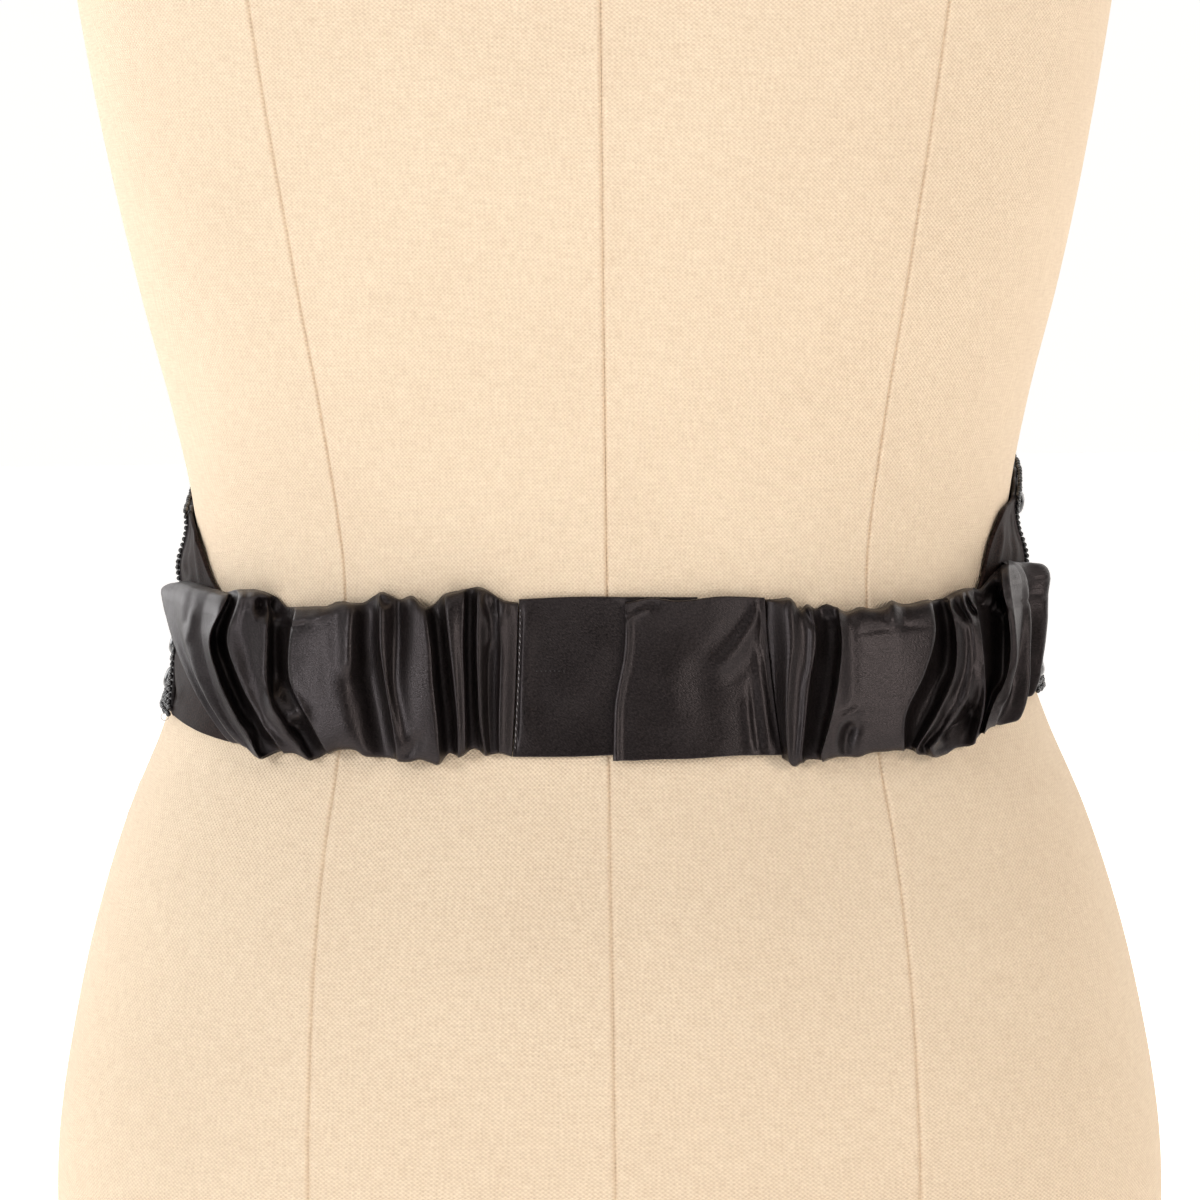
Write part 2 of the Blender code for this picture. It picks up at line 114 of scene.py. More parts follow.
class Fold(NamedTuple):
    """A crest or groove of the gathers, at five heights from the lower edge to the upper one.

    The arcs are read as they look from behind on cloth at the usual offset, but for
    the last lines of a table, which are true places.  Three offsets give its rise.
    before and after are the shares of the way to the neighbouring lines that it
    keeps level: small is a sharp crease, and over 1 the cloth laps past the next line.
    """
    bottom: float
    lower: float
    middle: float
    upper: float
    top: float
    off_low: float
    off_middle: float
    off_high: float
    before: float
    after: float


LEFT_FOLDS = (
    Fold(-25.4, -25.4, -25.4, -25.4, -25.4, 2.4, 2.4, 2.4, 0.1, 0.2),
    Fold(-28.2, -28.9, -29.3, -29.5, -30.3, 4.6, 5.0, 4.6, 0.5, 0.15),
    Fold(-30.2, -31.4, -32.4, -32.4, -32.8, 2.4, 2.2, 2.4, 1.1, 0.3),
    Fold(-31.6, -33.9, -35.3, -36.2, -36.4, 6.2, 7.2, 7.6, 0.5, 0.1),
    Fold(-34.4, -36.2, -37.5, -38.1, -38.3, 2.2, 2.2, 2.4, 1.1, 1.0),
    Fold(-37.0, -37.9, -39.1, -40.1, -40.3, 7.4, 8.0, 8.2, 0.1, 0.4),
    Fold(-38.8, -39.9, -41.9, -43.8, -45.6, 8.4, 9.6, 9.6, 0.5, 0.08),
    Fold(-41.0, -42.6, -45.0, -46.7, -48.2, 2.4, 2.2, 2.8, 1.3, 0.6),
    Fold(-43.6, -45.3, -47.7, -49.3, -51.5, 8.8, 9.8, 9.4, 0.12, 0.8),
    Fold(-50.4, -54.2, -57.8, -58.4, -59.0, 8.6, 7.0, 3.4, 0.25, 0.4),
    Fold(-54.6, -57.4, -61.0, -63.6, -64.6, 9.2, 10.2, 9.6, 0.4, 0.08),
    Fold(-57.2, -60.6, -64.4, -66.6, -67.2, 2.4, 2.2, 3.0, 1.3, 0.35),
    Fold(-66.6, -72.4, -77.6, -81.6, -83.0, 9.2, 10.4, 9.2, 0.55, 0.5),
    Fold(-72.8, -80.6, -89.6, -91.6, -90.6, 9.6, 10.6, 9.0, 0.6, 0.06),
    Fold(-76.4, -85.6, -92.8, -95.0, -95.8, 2.4, 2.4, 2.8, 1.3, 0.8),
    Fold(-79.6, -91.2, -98.6, -100.6, -102.6, 9.0, 10.4, 8.0, 0.6, 0.4),
    Fold(-82.0, -93.8, -103.0, -107.6, -107.8, 8.7, 9.8, 8.6, 0.5, 0.5),
    Fold(-85.6, -96.2, -107.8, -115.2, -112.6, 9.0, 10.4, 9.8, 0.6, 0.06),
    Fold(-88.6, -99.8, -111.4, -118.4, -115.0, 2.4, 2.2, 3.0, 1.2, 0.9),
    Fold(-94.0, -105.0, -117.0, -124.2, -117.8, 9.0, 10.8, 10.0, 0.4, 0.3),
    Fold(-94.2, -105.0, -115.0, -122.0, -124.0, 7.6, 8.4, 8.0, 0.2, 0.2),
    Fold(-96.4, -107.4, -119.6, -128.6, -135.0, 8.4, 9.8, 9.2, 0.4, 0.3),
    Fold(-98.4, -109.4, -122.6, -134.6, -146.0, 7.2, 8.4, 8.8, 0.3, 0.3),
    Fold(-100.0, -111.6, -126.0, -140.4, -156.0, 7.6, 9.0, 9.4, 0.5, 0.5),
    Fold(-101.6, -112.6, -127.6, -143.0, -159.6, 5.2, 5.2, 6.0, 0.3, 0.1),
)
RIGHT_FOLDS = (
    Fold(45.4, 45.4, 45.4, 45.4, 45.4, 2.4, 2.4, 2.6, 0.1, 0.3),
    Fold(45.9, 47.0, 49.2, 51.4, 51.6, 7.4, 9.2, 8.8, 0.4, 0.3),
    Fold(47.5, 49.6, 52.0, 54.8, 54.4, 6.6, 8.0, 7.8, 0.5, 0.5),
    Fold(49.6, 52.2, 55.2, 58.2, 57.4, 8.2, 9.4, 9.2, 0.5, 0.03),
    Fold(52.2, 55.6, 59.2, 61.6, 60.8, 2.2, 2.2, 2.6, 1.35, 1.2),
    Fold(54.7, 59.2, 63.5, 65.8, 65.2, 9.2, 10.6, 9.6, 0.03, 0.2),
    Fold(61.0, 66.4, 70.8, 72.0, 71.6, 8.6, 10.0, 9.2, 0.5, 0.4),
    Fold(77.8, 80.9, 90.0, 95.9, 96.0, 9.6, 10.8, 9.6, 0.4, 0.03),
    Fold(79.4, 85.4, 95.0, 98.8, 98.2, 2.4, 2.4, 2.8, 1.3, 0.9),
    Fold(81.2, 91.0, 100.6, 103.4, 102.0, 9.2, 10.2, 9.0, 0.05, 0.4),
    Fold(83.4, 94.2, 103.8, 106.4, 105.4, 4.8, 9.5, 8.4, 0.5, 0.5),
    Fold(86.0, 99.0, 107.2, 109.8, 109.4, 9.2, 10.8, 9.2, 0.5, 0.2),
    Fold(92.8, 103.4, 109.6, 111.8, 111.2, 1.0, 10.8, 9.4, 0.8, 0.6),
    Fold(100.4, 107.6, 112.2, 113.8, 113.2, 7.2, 11.2, 9.6, 0.2, 0.04),
    Fold(101.2, 109.2, 118.0, 121.4, 120.0, 2.8, 2.4, 3.0, 1.2, 1.1),
    Fold(102.4, 110.8, 124.6, 129.4, 129.0, 8.8, 11.0, 10.4, 0.06, 0.4),
    Fold(105.6, 115.0, 129.2, 134.0, 135.0, 8.8, 11.6, 11.0, 0.4, 0.1),
    Fold(111.6, 118.6, 123.4, 127.6, 129.0, 0.8, 7.4, 10.4, 0.9, 0.5),
    Fold(115.8, 122.1, 126.6, 131.0, 133.0, 6.8, 10.2, 10.6, 0.3, 0.2),
    Fold(117.8, 125.4, 131.4, 138.0, 142.0, 3.4, 3.6, 5.6, 0.9, 0.6),
    Fold(120.0, 128.6, 137.4, 144.8, 149.4, 6.6, 8.8, 10.6, 0.4, 0.5),
    Fold(122.4, 131.4, 142.2, 149.4, 155.2, 4.4, 4.8, 6.0, 0.4, 0.1),
)
FOLD_HEIGHTS = np.array([216.0, 226.0, 238.0, 249.0, 260.0])
TRUE_LINES = 5


class Crease(NamedTuple):
    """A soft ridge (plus) or trough (minus) along a bent line on the cloth."""
    arc: float
    height: float
    end_arc: float
    end_height: float
    bow: float
    reach: float
    rise: float


LEFT_CREASES = (
    Crease(-93.4, 233.0, -85.0, 226.4, 0.2, 3.4, 4.6),
    Crease(-73.0, 262.0, -71.0, 240.0, 0.4, 3.0, 3.6),
    Crease(-100.8, 253.4, -77.5, 257.4, 0.9, 1.3, 0.8),
    Crease(-96.0, 252.0, -86.0, 253.8, 0.2, 1.1, -1.0),
    Crease(-104.0, 257.8, -96.5, 257.6, 0.2, 2.4, -4.4),
    Crease(-114.0, 260.4, -101.0, 261.2, 0.5, 1.2, 1.0),
    Crease(-101.0, 258.6, -99.0, 255.4, 0.4, 1.0, 1.2),
    Crease(-64.2, 262.0, -62.2, 259.4, 0.3, 0.9, -2.4),
    Crease(-34.8, 259.0, -33.2, 247.4, -0.9, 0.9, 1.7),
    Crease(-33.0, 262.6, -31.6, 256.4, 0.5, 0.7, 1.1),
    Crease(-34.4, 262.4, -34.0, 256.4, 0.3, 0.6, -1.2),
    Crease(-31.4, 257.2, -30.4, 247.4, -0.4, 0.8, 1.0),
    Crease(-28.0, 261.0, -28.8, 256.4, 0.4, 1.0, 0.8),
    Crease(-52.5, 217.0, -50.0, 222.0, 0.5, 1.8, -1.0),
    Crease(-128.5, 254.6, -127.2, 246.0, -1.4, 1.8, 0.4),
    Crease(-131.8, 260.6, -130.4, 250.4, -1.0, 1.8, -0.4),
)
RIGHT_CREASES = (
    Crease(90.8, 218.0, 102.0, 225.4, 0.9, 2.7, -5.0),
    Crease(70.0, 249.4, 95.0, 250.2, -0.7, 0.8, -0.35),
    Crease(68.8, 257.0, 65.8, 231.0, -0.6, 2.2, -0.6),
    Crease(81.6, 252.0, 81.6, 258.0, 0.3, 1.8, 0.7),
    Crease(85.6, 250.8, 86.2, 257.0, 0.3, 1.6, -0.5),
    Crease(67.8, 228.4, 58.8, 216.0, 2.2, 1.6, 0.8),
    Crease(64.2, 223.6, 61.4, 215.4, 0.6, 2.1, -3.0),
    Crease(100.2, 257.4, 108.0, 249.8, 0.4, 0.8, 1.3),
    Crease(104.4, 257.2, 109.4, 251.6, 0.3, 1.3, -1.2),
    Crease(107.8, 258.8, 111.4, 250.4, 0.5, 0.8, 1.5),
    Crease(110.0, 256.8, 113.0, 252.6, 0.4, 1.0, -1.6),
    Crease(110.4, 258.2, 115.0, 252.4, 0.4, 0.6, 1.2),
    Crease(113.4, 257.0, 116.4, 253.8, 0.4, 0.9, -1.8),
    Crease(118.0, 259.6, 127.6, 250.6, 1.4, 0.8, 1.8),
    Crease(125.0, 258.6, 128.6, 252.2, 0.6, 1.6, -3.4),
    Crease(131.0, 254.6, 148.0, 255.0, 0.3, 0.9, -0.5),
    Crease(60.2, 256.6, 62.6, 252.4, 0.2, 0.9, -1.6),
    Crease(62.4, 257.0, 63.4, 253.2, 0.2, 0.7, 0.9),
    Crease(55.4, 257.2, 58.2, 251.4, 0.2, 0.8, -1.2),
)
OVERLAP_CREASES = (
    Crease(44.2, 258.6, 30.4, 240.4, -1.0, 2.2, 0.8),
    Crease(41.0, 258.0, 29.0, 246.0, -0.6, 2.6, -0.5),
    Crease(46.0, 252.0, 33.0, 236.0, -1.0, 2.4, -0.4),
    Crease(5.0, 253.6, 11.5, 257.6, -0.6, 0.8, 0.9),
    Crease(7.0, 256.6, 14.0, 259.6, -0.4, 1.4, -0.8),
    Crease(16.5, 241.0, 20.0, 223.0, 1.4, 5.4, 0.65),
    Crease(25.0, 243.0, 28.0, 222.0, 0.8, 3.8, -0.3),
    Crease(37.6, 232.0, 37.2, 215.8, 0.3, 1.3, 0.5),
    Crease(39.6, 238.0, 39.4, 215.8, 0.3, 1.1, -0.6),
    Crease(41.2, 250.0, 41.8, 215.8, -0.4, 1.0, 0.35),
    Crease(43.4, 262.0, 44.0, 215.8, -0.3, 0.9, -0.5),
)
UNDERLAP_CREASES = (
    Crease(-22.6, 258.0, -21.8, 219.0, 0.8, 2.6, 0.6),
    Crease(-24.4, 260.0, -24.3, 217.0, 0.2, 0.5, -0.5),
    Crease(-12.0, 232.0, -2.0, 250.0, 1.5, 5.0, 0.5),
    Crease(3.0, 262.0, 9.0, 259.2, 0.5, 1.0, 0.6),
)
TAB_CREASES = (
    Crease(126.0, 255.0, 140.0, 276.0, 1.5, 2.2, 0.9),
    Crease(137.0, 248.0, 150.0, 270.0, -1.8, 2.6, 1.0),
    Crease(143.0, 262.0, 151.0, 279.0, 1.2, 1.8, -0.9),
    Crease(128.0, 228.0, 150.0, 240.0, 1.0, 1.8, 0.6),
    Crease(133.0, 226.0, 146.0, 233.0, 0.6, 1.3, -0.5),
    Crease(147.0, 228.0, 151.0, 246.0, 0.8, 1.6, 0.6),
)


class Edge(NamedTuple):
    """The heights of a band's lower and upper edges at an arc."""
    arc: float
    low: float
    high: float


LEFT_EDGES = (
    Edge(-165, 240, 257.6),
    Edge(-158, 235, 260.6),
    Edge(-140, 226.5, 262.2),
    Edge(-127, 222.6, 261.4),
    Edge(-118, 220.2, 260.8),
    Edge(-110, 219.8, 262.0),
    Edge(-104, 218.6, 262.2),
    Edge(-98, 217.8, 260.6),
    Edge(-93.5, 214.8, 258.0),
    Edge(-88, 216.4, 258.0),
    Edge(-83, 216.8, 258.4),
    Edge(-80.5, 215.8, 258.4),
    Edge(-77.5, 214.8, 259.6),
    Edge(-75, 216.0, 260.2),
    Edge(-72, 218.2, 260.0),
    Edge(-69, 218.6, 260.0),
    Edge(-66, 218.2, 261.8),
    Edge(-63.5, 216.6, 262.8),
    Edge(-61, 216.2, 262.2),
    Edge(-58.5, 216.0, 261.0),
    Edge(-55, 215.6, 262.0),
    Edge(-51.5, 215.3, 259.4),
    Edge(-48.5, 216.1, 259.9),
    Edge(-46, 215.5, 262.2),
    Edge(-43.8, 214.9, 263.0),
    Edge(-41.4, 217.4, 263.6),
    Edge(-38.6, 216.7, 264.4),
    Edge(-36.4, 218.2, 264.8),
    Edge(-34.4, 218.8, 264.4),
    Edge(-32, 217.2, 262.8),
    Edge(-29.8, 217.2, 261.4),
    Edge(-28.2, 217.6, 260.9),
    Edge(-25, 216.2, 260.3),
)
RIGHT_EDGES = (
    Edge(45, 215.6, 260.0),
    Edge(46.6, 212.8, 260.1),
    Edge(49, 213.6, 260.0),
    Edge(52.5, 213.9, 259.5),
    Edge(54.5, 213.8, 256.4),
    Edge(56.5, 214.6, 257.8),
    Edge(59, 215.0, 256.8),
    Edge(62, 214.8, 258.0),
    Edge(65, 214.7, 257.0),
    Edge(67.5, 215.4, 255.4),
    Edge(72, 215.6, 256.4),
    Edge(78, 215.4, 255.9),
    Edge(80.5, 214.8, 256.4),
    Edge(82.6, 213.6, 258.0),
    Edge(85, 213.2, 256.8),
    Edge(89, 213.0, 256.4),
    Edge(94, 214.4, 257.3),
    Edge(99, 215.0, 257.4),
    Edge(103, 217.4, 257.8),
    Edge(107, 219.6, 259.0),
    Edge(112, 219.6, 259.6),
    Edge(115.5, 219.2, 259.2),
    Edge(119, 220.6, 260.4),
    Edge(124, 225.0, 262.6),
    Edge(130, 226.4, 264.8),
    Edge(137, 228.6, 266.0),
    Edge(146, 231.6, 265.0),
    Edge(160, 237, 263),
)
UNDERLAP_EDGES = (
    Edge(-26, 216.3, 260.6),
    Edge(-10, 216.2, 261.2),
    Edge(5, 216.6, 261.0),
    Edge(27, 216.0, 260.5),
)
OVERLAP_EDGES = (
    Edge(0, 215.2, 259.6),
    Edge(6, 215.1, 259.6),
    Edge(12, 215.3, 260.6),
    Edge(20, 215.3, 259.8),
    Edge(32, 215.8, 260.7),
    Edge(45, 215.5, 260.0),
)
# The plain tabs and the beaded front, from the right casing round the front to the left one
FRONT_EDGES = (
    Edge(90, 218, 254),
    Edge(112, 220, 255),
    Edge(124, 222.5, 260),
    Edge(132, 225, 272),
    Edge(140, 225.5, 280),
    Edge(148, 226, 282),
    Edge(158, 226, 283.5),
    Edge(168, 225.5, 288.5),
    Edge(190, 223, 295),
    Edge(240, 217, 305),
    Edge(300, 212, 314),
    Edge(352, 210, 318),
    Edge(404, 212, 314),
    Edge(464, 217, 303),
    Edge(505, 221, 290),
    Edge(525, 223, 283.5),
    Edge(538, 223.5, 281.5),
    Edge(546, 223.5, 279.5),
    Edge(555, 222.8, 274.5),
    Edge(565, 221.5, 265.5),
    Edge(575, 220, 259.5),
    Edge(591, 218, 255),
    Edge(613, 216.5, 254),
)


class Seam(NamedTuple):
    """A point of a seam that crosses the band or the form: its height and its arc."""
    height: float
    arc: float


TAB_START_LEFT = (Seam(210, -88), Seam(238, -108), Seam(262, -126))
TAB_START_RIGHT = (Seam(210, 95), Seam(238, 112), Seam(262, 124))
BEAD_LINE_LEFT = (Seam(218, -140), Seam(226, -147), Seam(236, -157), Seam(246, -162.5),
                  Seam(262, -165), Seam(285, -166))
BEAD_LINE_RIGHT = (Seam(222, 141), Seam(232, 148), Seam(246, 153), Seam(262, 156), Seam(285, 158))
OVERLAP_EDGE = (Seam(214, 0.9), Seam(222, 1.1), Seam(231, 1.6), Seam(246, 4.5), Seam(262, 5.0))
PRINCESS_SEAM = (Seam(0, 62), Seam(90, 65), Seam(148, 68), Seam(215, 73), Seam(260, 78), Seam(376, 80.5),
                 Seam(500, 85), Seam(620, 92), Seam(656, 78), Seam(735, 66))
SIDE_ARC = 175.0


class Swell(NamedTuple):
    """A soft rise of the cloth: where it is highest, how far it reaches and how much it rises."""
    arc: float
    height: float
    arc_reach: float
    reach: float
    rise: float


# At the bead lines, where arcs count from the line itself
LINE_SWELLS = (Swell(0, 248, 13, 16, 1.6), Swell(0, 266, 13, 8, 3.4))


# --------------------------------------------------------------------------- places


def smooth(rows, place, column):
    """Read a column of a table at places in its first column, on a smooth curve."""
    table = np.array(rows, dtype=float)
    x, y = table[:, 0], table[:, column]
    slope = np.gradient(y, x)
    place = np.clip(np.asarray(place, dtype=float), x[0], x[-1])
    i = np.clip(np.searchsorted(x, place) - 1, 0, len(x) - 2)
    step = x[i + 1] - x[i]
    t = (place - x[i]) / step
    ends = (2 * t ** 3 - 3 * t ** 2 + 1) * y[i] + (3 * t ** 2 - 2 * t ** 3) * y[i + 1]
    turns = (t ** 3 - 2 * t ** 2 + t) * slope[i] + (t ** 3 - t ** 2) * slope[i + 1]
    return ends + step * turns


def section_point(angle, height):
    """A point of the form's section; angle 0 is the centre back and 90 degrees +X."""
    half_width = smooth(FORM, height, 1)
    depth = np.where(np.cos(angle) > 0, smooth(FORM, height, 3), smooth(FORM, height, 2))
    power = 2 / FORM_POWER
    x = half_width * np.sign(np.sin(angle)) * np.abs(np.sin(angle)) ** power
    y = -depth * np.sign(np.cos(angle)) * np.abs(np.cos(angle)) ** power
    return x, y + FORM_SHIFT


ANGLES = np.linspace(-math.pi, math.pi, 7201)
LEVEL_X, LEVEL_Y = section_point(ANGLES, np.full_like(ANGLES, ARC_LEVEL))
ARCS = np.concatenate([[0.0], np.cumsum(np.hypot(np.diff(LEVEL_X), np.diff(LEVEL_Y)))])
GIRTH = ARCS[-1]
ARCS = ARCS - np.interp(0.0, ANGLES, ARCS)


def on_form(arc, height, offset):
    """The place in metres at an arc, a height and an offset out from the form."""
    arc, height, offset = np.broadcast_arrays(*(np.asarray(v, float) for v in (arc, height, offset)))
    wrapped = (arc + GIRTH / 2) % GIRTH - GIRTH / 2
    angle = np.interp(wrapped, ARCS, ANGLES)
    x0, y0 = section_point(angle - 1e-3, height)
    x1, y1 = section_point(angle + 1e-3, height)
    length = np.hypot(x1 - x0, y1 - y0)
    x, y = section_point(angle, height)
    out_x, out_y = (y1 - y0) / length, (x0 - x1) / length
    return np.stack([x + out_x * offset, y + out_y * offset, height], axis=-1) * MM


# A crease keeps its rise over this share of its length either side of its middle; past that it
# fades over its own reach and a share of its length
CREASE_CORE = 0.34
CREASE_FADE = 0.16
CREASE_END = 1.6
# The lattice of random heights behind the even noise, which repeats, and where it starts
LATTICE = (61, 67)
LATTICE_START = 500.0


def bump_of(distance):
    """A soft bell that is 1 at a distance of 0."""
    return np.exp(-distance ** 2)


def relief(creases, arc, height):
    """How far a list of creases lifts the cloth at arcs and heights."""
    lift = np.zeros(np.broadcast(arc, height).shape)
    for crease in creases:
        run_arc, run_up = crease.end_arc - crease.arc, crease.end_height - crease.height
        length = math.hypot(run_arc, run_up)
        along = ((arc - crease.arc) * run_arc + (height - crease.height) * run_up) / length ** 2
        aside = ((arc - crease.arc) * run_up - (height - crease.height) * run_arc) / length
        bow = 4 * crease.bow * np.clip(along, 0, 1) * (1 - np.clip(along, 0, 1))
        fade = crease.reach + CREASE_FADE * length
        past = np.maximum(np.abs(along - 0.5) - CREASE_CORE, 0) * length / fade
        lift = lift + crease.rise * bump_of((aside - bow) / crease.reach) * bump_of(past * CREASE_END)
    return lift


def stand_off(arc, height, line_arc):
    """How far the cloth stands out beside a bead line, where the ruffle pushes it."""
    lift = 0.0
    for swell in LINE_SWELLS:
        along, up = (arc - line_arc) / swell.arc_reach, (height - swell.height) / swell.reach
        lift = lift + swell.rise * np.exp(-along ** 2 - up ** 2)
    return lift


def ripple(arc, height, arc_size, height_size, seed):
    """Even noise from -1 to 1 over arcs and heights, with waves of the given sizes."""
    lattice, (columns, rows) = np.random.default_rng(seed).uniform(-1, 1, LATTICE), LATTICE
    u = np.asarray(arc) / arc_size + LATTICE_START
    v = np.asarray(height) / height_size + LATTICE_START
    i, j = np.floor(u).astype(int), np.floor(v).astype(int)
    s, t = u - i, v - j
    s, t = s * s * (3 - 2 * s), t * t * (3 - 2 * t)
    here, after, level, above = i % columns, (i + 1) % columns, j % rows, (j + 1) % rows
    low = lattice[here, level] * (1 - s) + lattice[after, level] * s
    high = lattice[here, above] * (1 - s) + lattice[after, above] * s
    return low * (1 - t) + high * t


def shifted(seam, distance):
    """A seam moved along the band."""
    return tuple(Seam(point.height, point.arc + distance) for point in seam)


def upright(arc):
    """A seam that crosses the band straight up."""
    return Seam(200, arc), Seam(300, arc)


def across(start, end, height, run):
    """The arc at a height and a share of the way from one seam to another."""
    first, last = smooth(start, height, 1), smooth(end, height, 1)
    return first + (last - first) * run


def flat_grid(start, end, edges, run, share):
    """Arcs and heights of a flat piece between two seams and its edges."""
    run, share = np.asarray(run, float)[:, None], np.asarray(share, float)
    low, high = np.full_like(run, start[0].height), np.full_like(run, start[-1].height)
    for _ in range(6):
        low = smooth(edges, across(start, end, low, run), 1)
        high = smooth(edges, across(start, end, high, run), 2)
    height = low + (high - low) * share
    return across(start, end, height, run), height


# --------------------------------------------------------------------------- meshes


def new_piece(name, points, faces, places, shade, slot):
    """A named piece from points, lists of face corners and the flat cloth place of each corner."""
    mesh = bpy.data.meshes.new(name)
    mesh.from_pydata(points.tolist(), [], faces)
    if places is not None:
        layer = mesh.uv_layers.new(name="cloth")
        layer.data.foreach_set("uv", np.asarray(places, np.float32).reshape(-1))
    mesh.shade_smooth()
    mesh.materials.append(shade)
    piece = bpy.data.objects.new(name, mesh)
    bpy.context.scene.collection.objects.link(piece)
    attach(piece, "root")
    return piece


def grid_quads(columns, rows, closed_columns=False, closed_rows=False):
    """Corner indexes of a grid's quads and the grid places of those corners."""
    i = np.arange(columns if closed_columns else columns - 1)[:, None]
    j = np.arange(rows if closed_rows else rows - 1)[None, :]
    corners, places = [], []
    for di, dj in ((0, 0), (1, 0), (1, 1), (0, 1)):
        corners.append(((i + di) % columns) * rows + (j + dj) % rows)
        places.append(np.stack(np.broadcast_arrays(i + di, j + dj), axis=-1))
    quads = np.stack([c.reshape(-1) for c in corners], axis=-1)
    return quads, np.stack([p.reshape(-1, 2) for p in places], axis=1)


def cloth_places(chart, corners):
    """The cloth place at each corner, from a grid of places that may run one row past its end."""
    return chart[corners[..., 0], corners[..., 1]]


def sheet_piece(name, outer, inner, chart, shade, slot):
    """A sheet of cloth from its outer and inner points, closed by a rounded rim."""
    columns, rows = outer.shape[:2]
    count = columns * rows
    quads, corners = grid_quads(columns, rows)
    places = cloth_places(chart, corners)
    rim = [(i, 0) for i in range(columns)] + [(columns - 1, j) for j in range(1, rows)]
    rim += [(i, rows - 1) for i in range(columns - 2, -1, -1)] + [(0, j) for j in range(rows - 2, 0, -1)]
    ring = np.array([i * rows + j for i, j in rim])
    flat = chart.reshape(-1, 2)
    following = np.roll(ring, -1)
    sides = np.stack([following, ring, ring + count, following + count], axis=-1)
    side_places = np.stack([flat[following], flat[ring], flat[ring], flat[following]], axis=1)
    faces = np.concatenate([quads, quads[:, ::-1] + count, sides])
    all_places = np.concatenate([places, places[:, ::-1], side_places])
    points = np.concatenate([outer.reshape(-1, 3), inner.reshape(-1, 3)])
    return new_piece(name, points, faces.tolist(), all_places, shade, slot)


def turned(profile, around, bottom, top):
    """Points and faces of a solid turned from rows of (radius, rise) between its two tips."""
    points = [(0, 0, bottom)]
    for radius, rise in profile:
        points += [(radius * math.cos(math.tau * k / around), radius * math.sin(math.tau * k / around), rise)
                   for k in range(around)]
    points.append((0, 0, top))
    faces = [(0, 1 + (k + 1) % around, 1 + k) for k in range(around)]
    for ring in range(len(profile) - 1):
        a, b = 1 + ring * around, 1 + (ring + 1) * around
        for k in range(around):
            n = (k + 1) % around
            faces += [(a + k, a + n, b + n), (a + k, b + n, b + k)]
    last = 1 + (len(profile) - 1) * around
    faces += [(last + k, last + (k + 1) % around, len(points) - 1) for k in range(around)]
    return np.array(points, float), np.array(faces)


def ball_template(around, up):
    """Points and faces of a small round bead of radius 1."""
    tilts = [math.pi * j / up for j in range(1, up)]
    return turned([(math.sin(tilt), -math.cos(tilt)) for tilt in tilts], around, -1, 1)


def copies(name, template, centres, axes, sizes, shade, slot):
    """One mesh of many copies of a template, each with its own centre, axes and sizes."""
    points, faces = template
    shaped = points[None] * sizes[:, None, :]
    placed = np.einsum("nij,nkj->nki", axes.transpose(0, 2, 1), shaped) + centres[:, None, :]
    indexes = faces[None] + (np.arange(len(centres)) * len(points))[:, None, None]
    corners = indexes.reshape(-1, faces.shape[1]).tolist()
    return new_piece(name, placed.reshape(-1, 3), corners, None, shade, slot)


def cloth_axes(arc, height):
    """Unit axes at places of the form: along the band, up and out."""
    here = on_form(arc, height, 0.0)
    along = on_form(arc + 0.5, height, 0.0) - on_form(arc - 0.5, height, 0.0)
    rise = on_form(arc, height + 0.5, 0.0) - on_form(arc, height - 0.5, 0.0)
    along = along / np.linalg.norm(along, axis=-1, keepdims=True)
    out = np.cross(along, rise)
    out = out / np.linalg.norm(out, axis=-1, keepdims=True)
    return here, np.stack([along, np.cross(out, along), out], axis=-2)


# --------------------------------------------------------------------------- materials


class Term:
    """A socket of a material's nodes, with the arithmetic that joins it to other values."""

    def __init__(self, tree, socket):
        self.tree = tree
        self.socket = socket

    def maths(self, operation, first, second):
        return self.tree.node("ShaderNodeMath", {"operation": operation}, {0: first, 1: second})

    def __add__(self, other):
        return self.maths("ADD", self, other)

    __radd__ = __add__

    def __sub__(self, other):
        return self.maths("SUBTRACT", self, other)

    def __rsub__(self, other):
        return self.maths("SUBTRACT", other, self)

    def __mul__(self, other):
        return self.maths("MULTIPLY", self, other)

    __rmul__ = __mul__

    def __truediv__(self, other):
        return self.maths("DIVIDE", self, other)

    def __rtruediv__(self, other):
        return self.maths("DIVIDE", other, self)


class Tree:
    """The nodes of a material or of the studio round the object."""

    def __init__(self, holder):
        holder.use_nodes = True
        self.nodes = holder.node_tree.nodes
        self.links = holder.node_tree.links

    def node(self, kind, settings, sockets, output=0):
        """A node of a type, with its settings and then its sockets' values or links."""
        made = self.nodes.new(kind)
        for setting, value in settings.items():
            setattr(made, setting, value)
        for socket, value in sockets.items():
            self.put(made.inputs[socket], value)
        return Term(self, made.outputs[output])

    def put(self, socket, value):
        """Links a term to a socket, or sets the socket's own value."""
        if isinstance(value, Term):
            self.links.new(value.socket, socket)
        else:
            socket.default_value = value


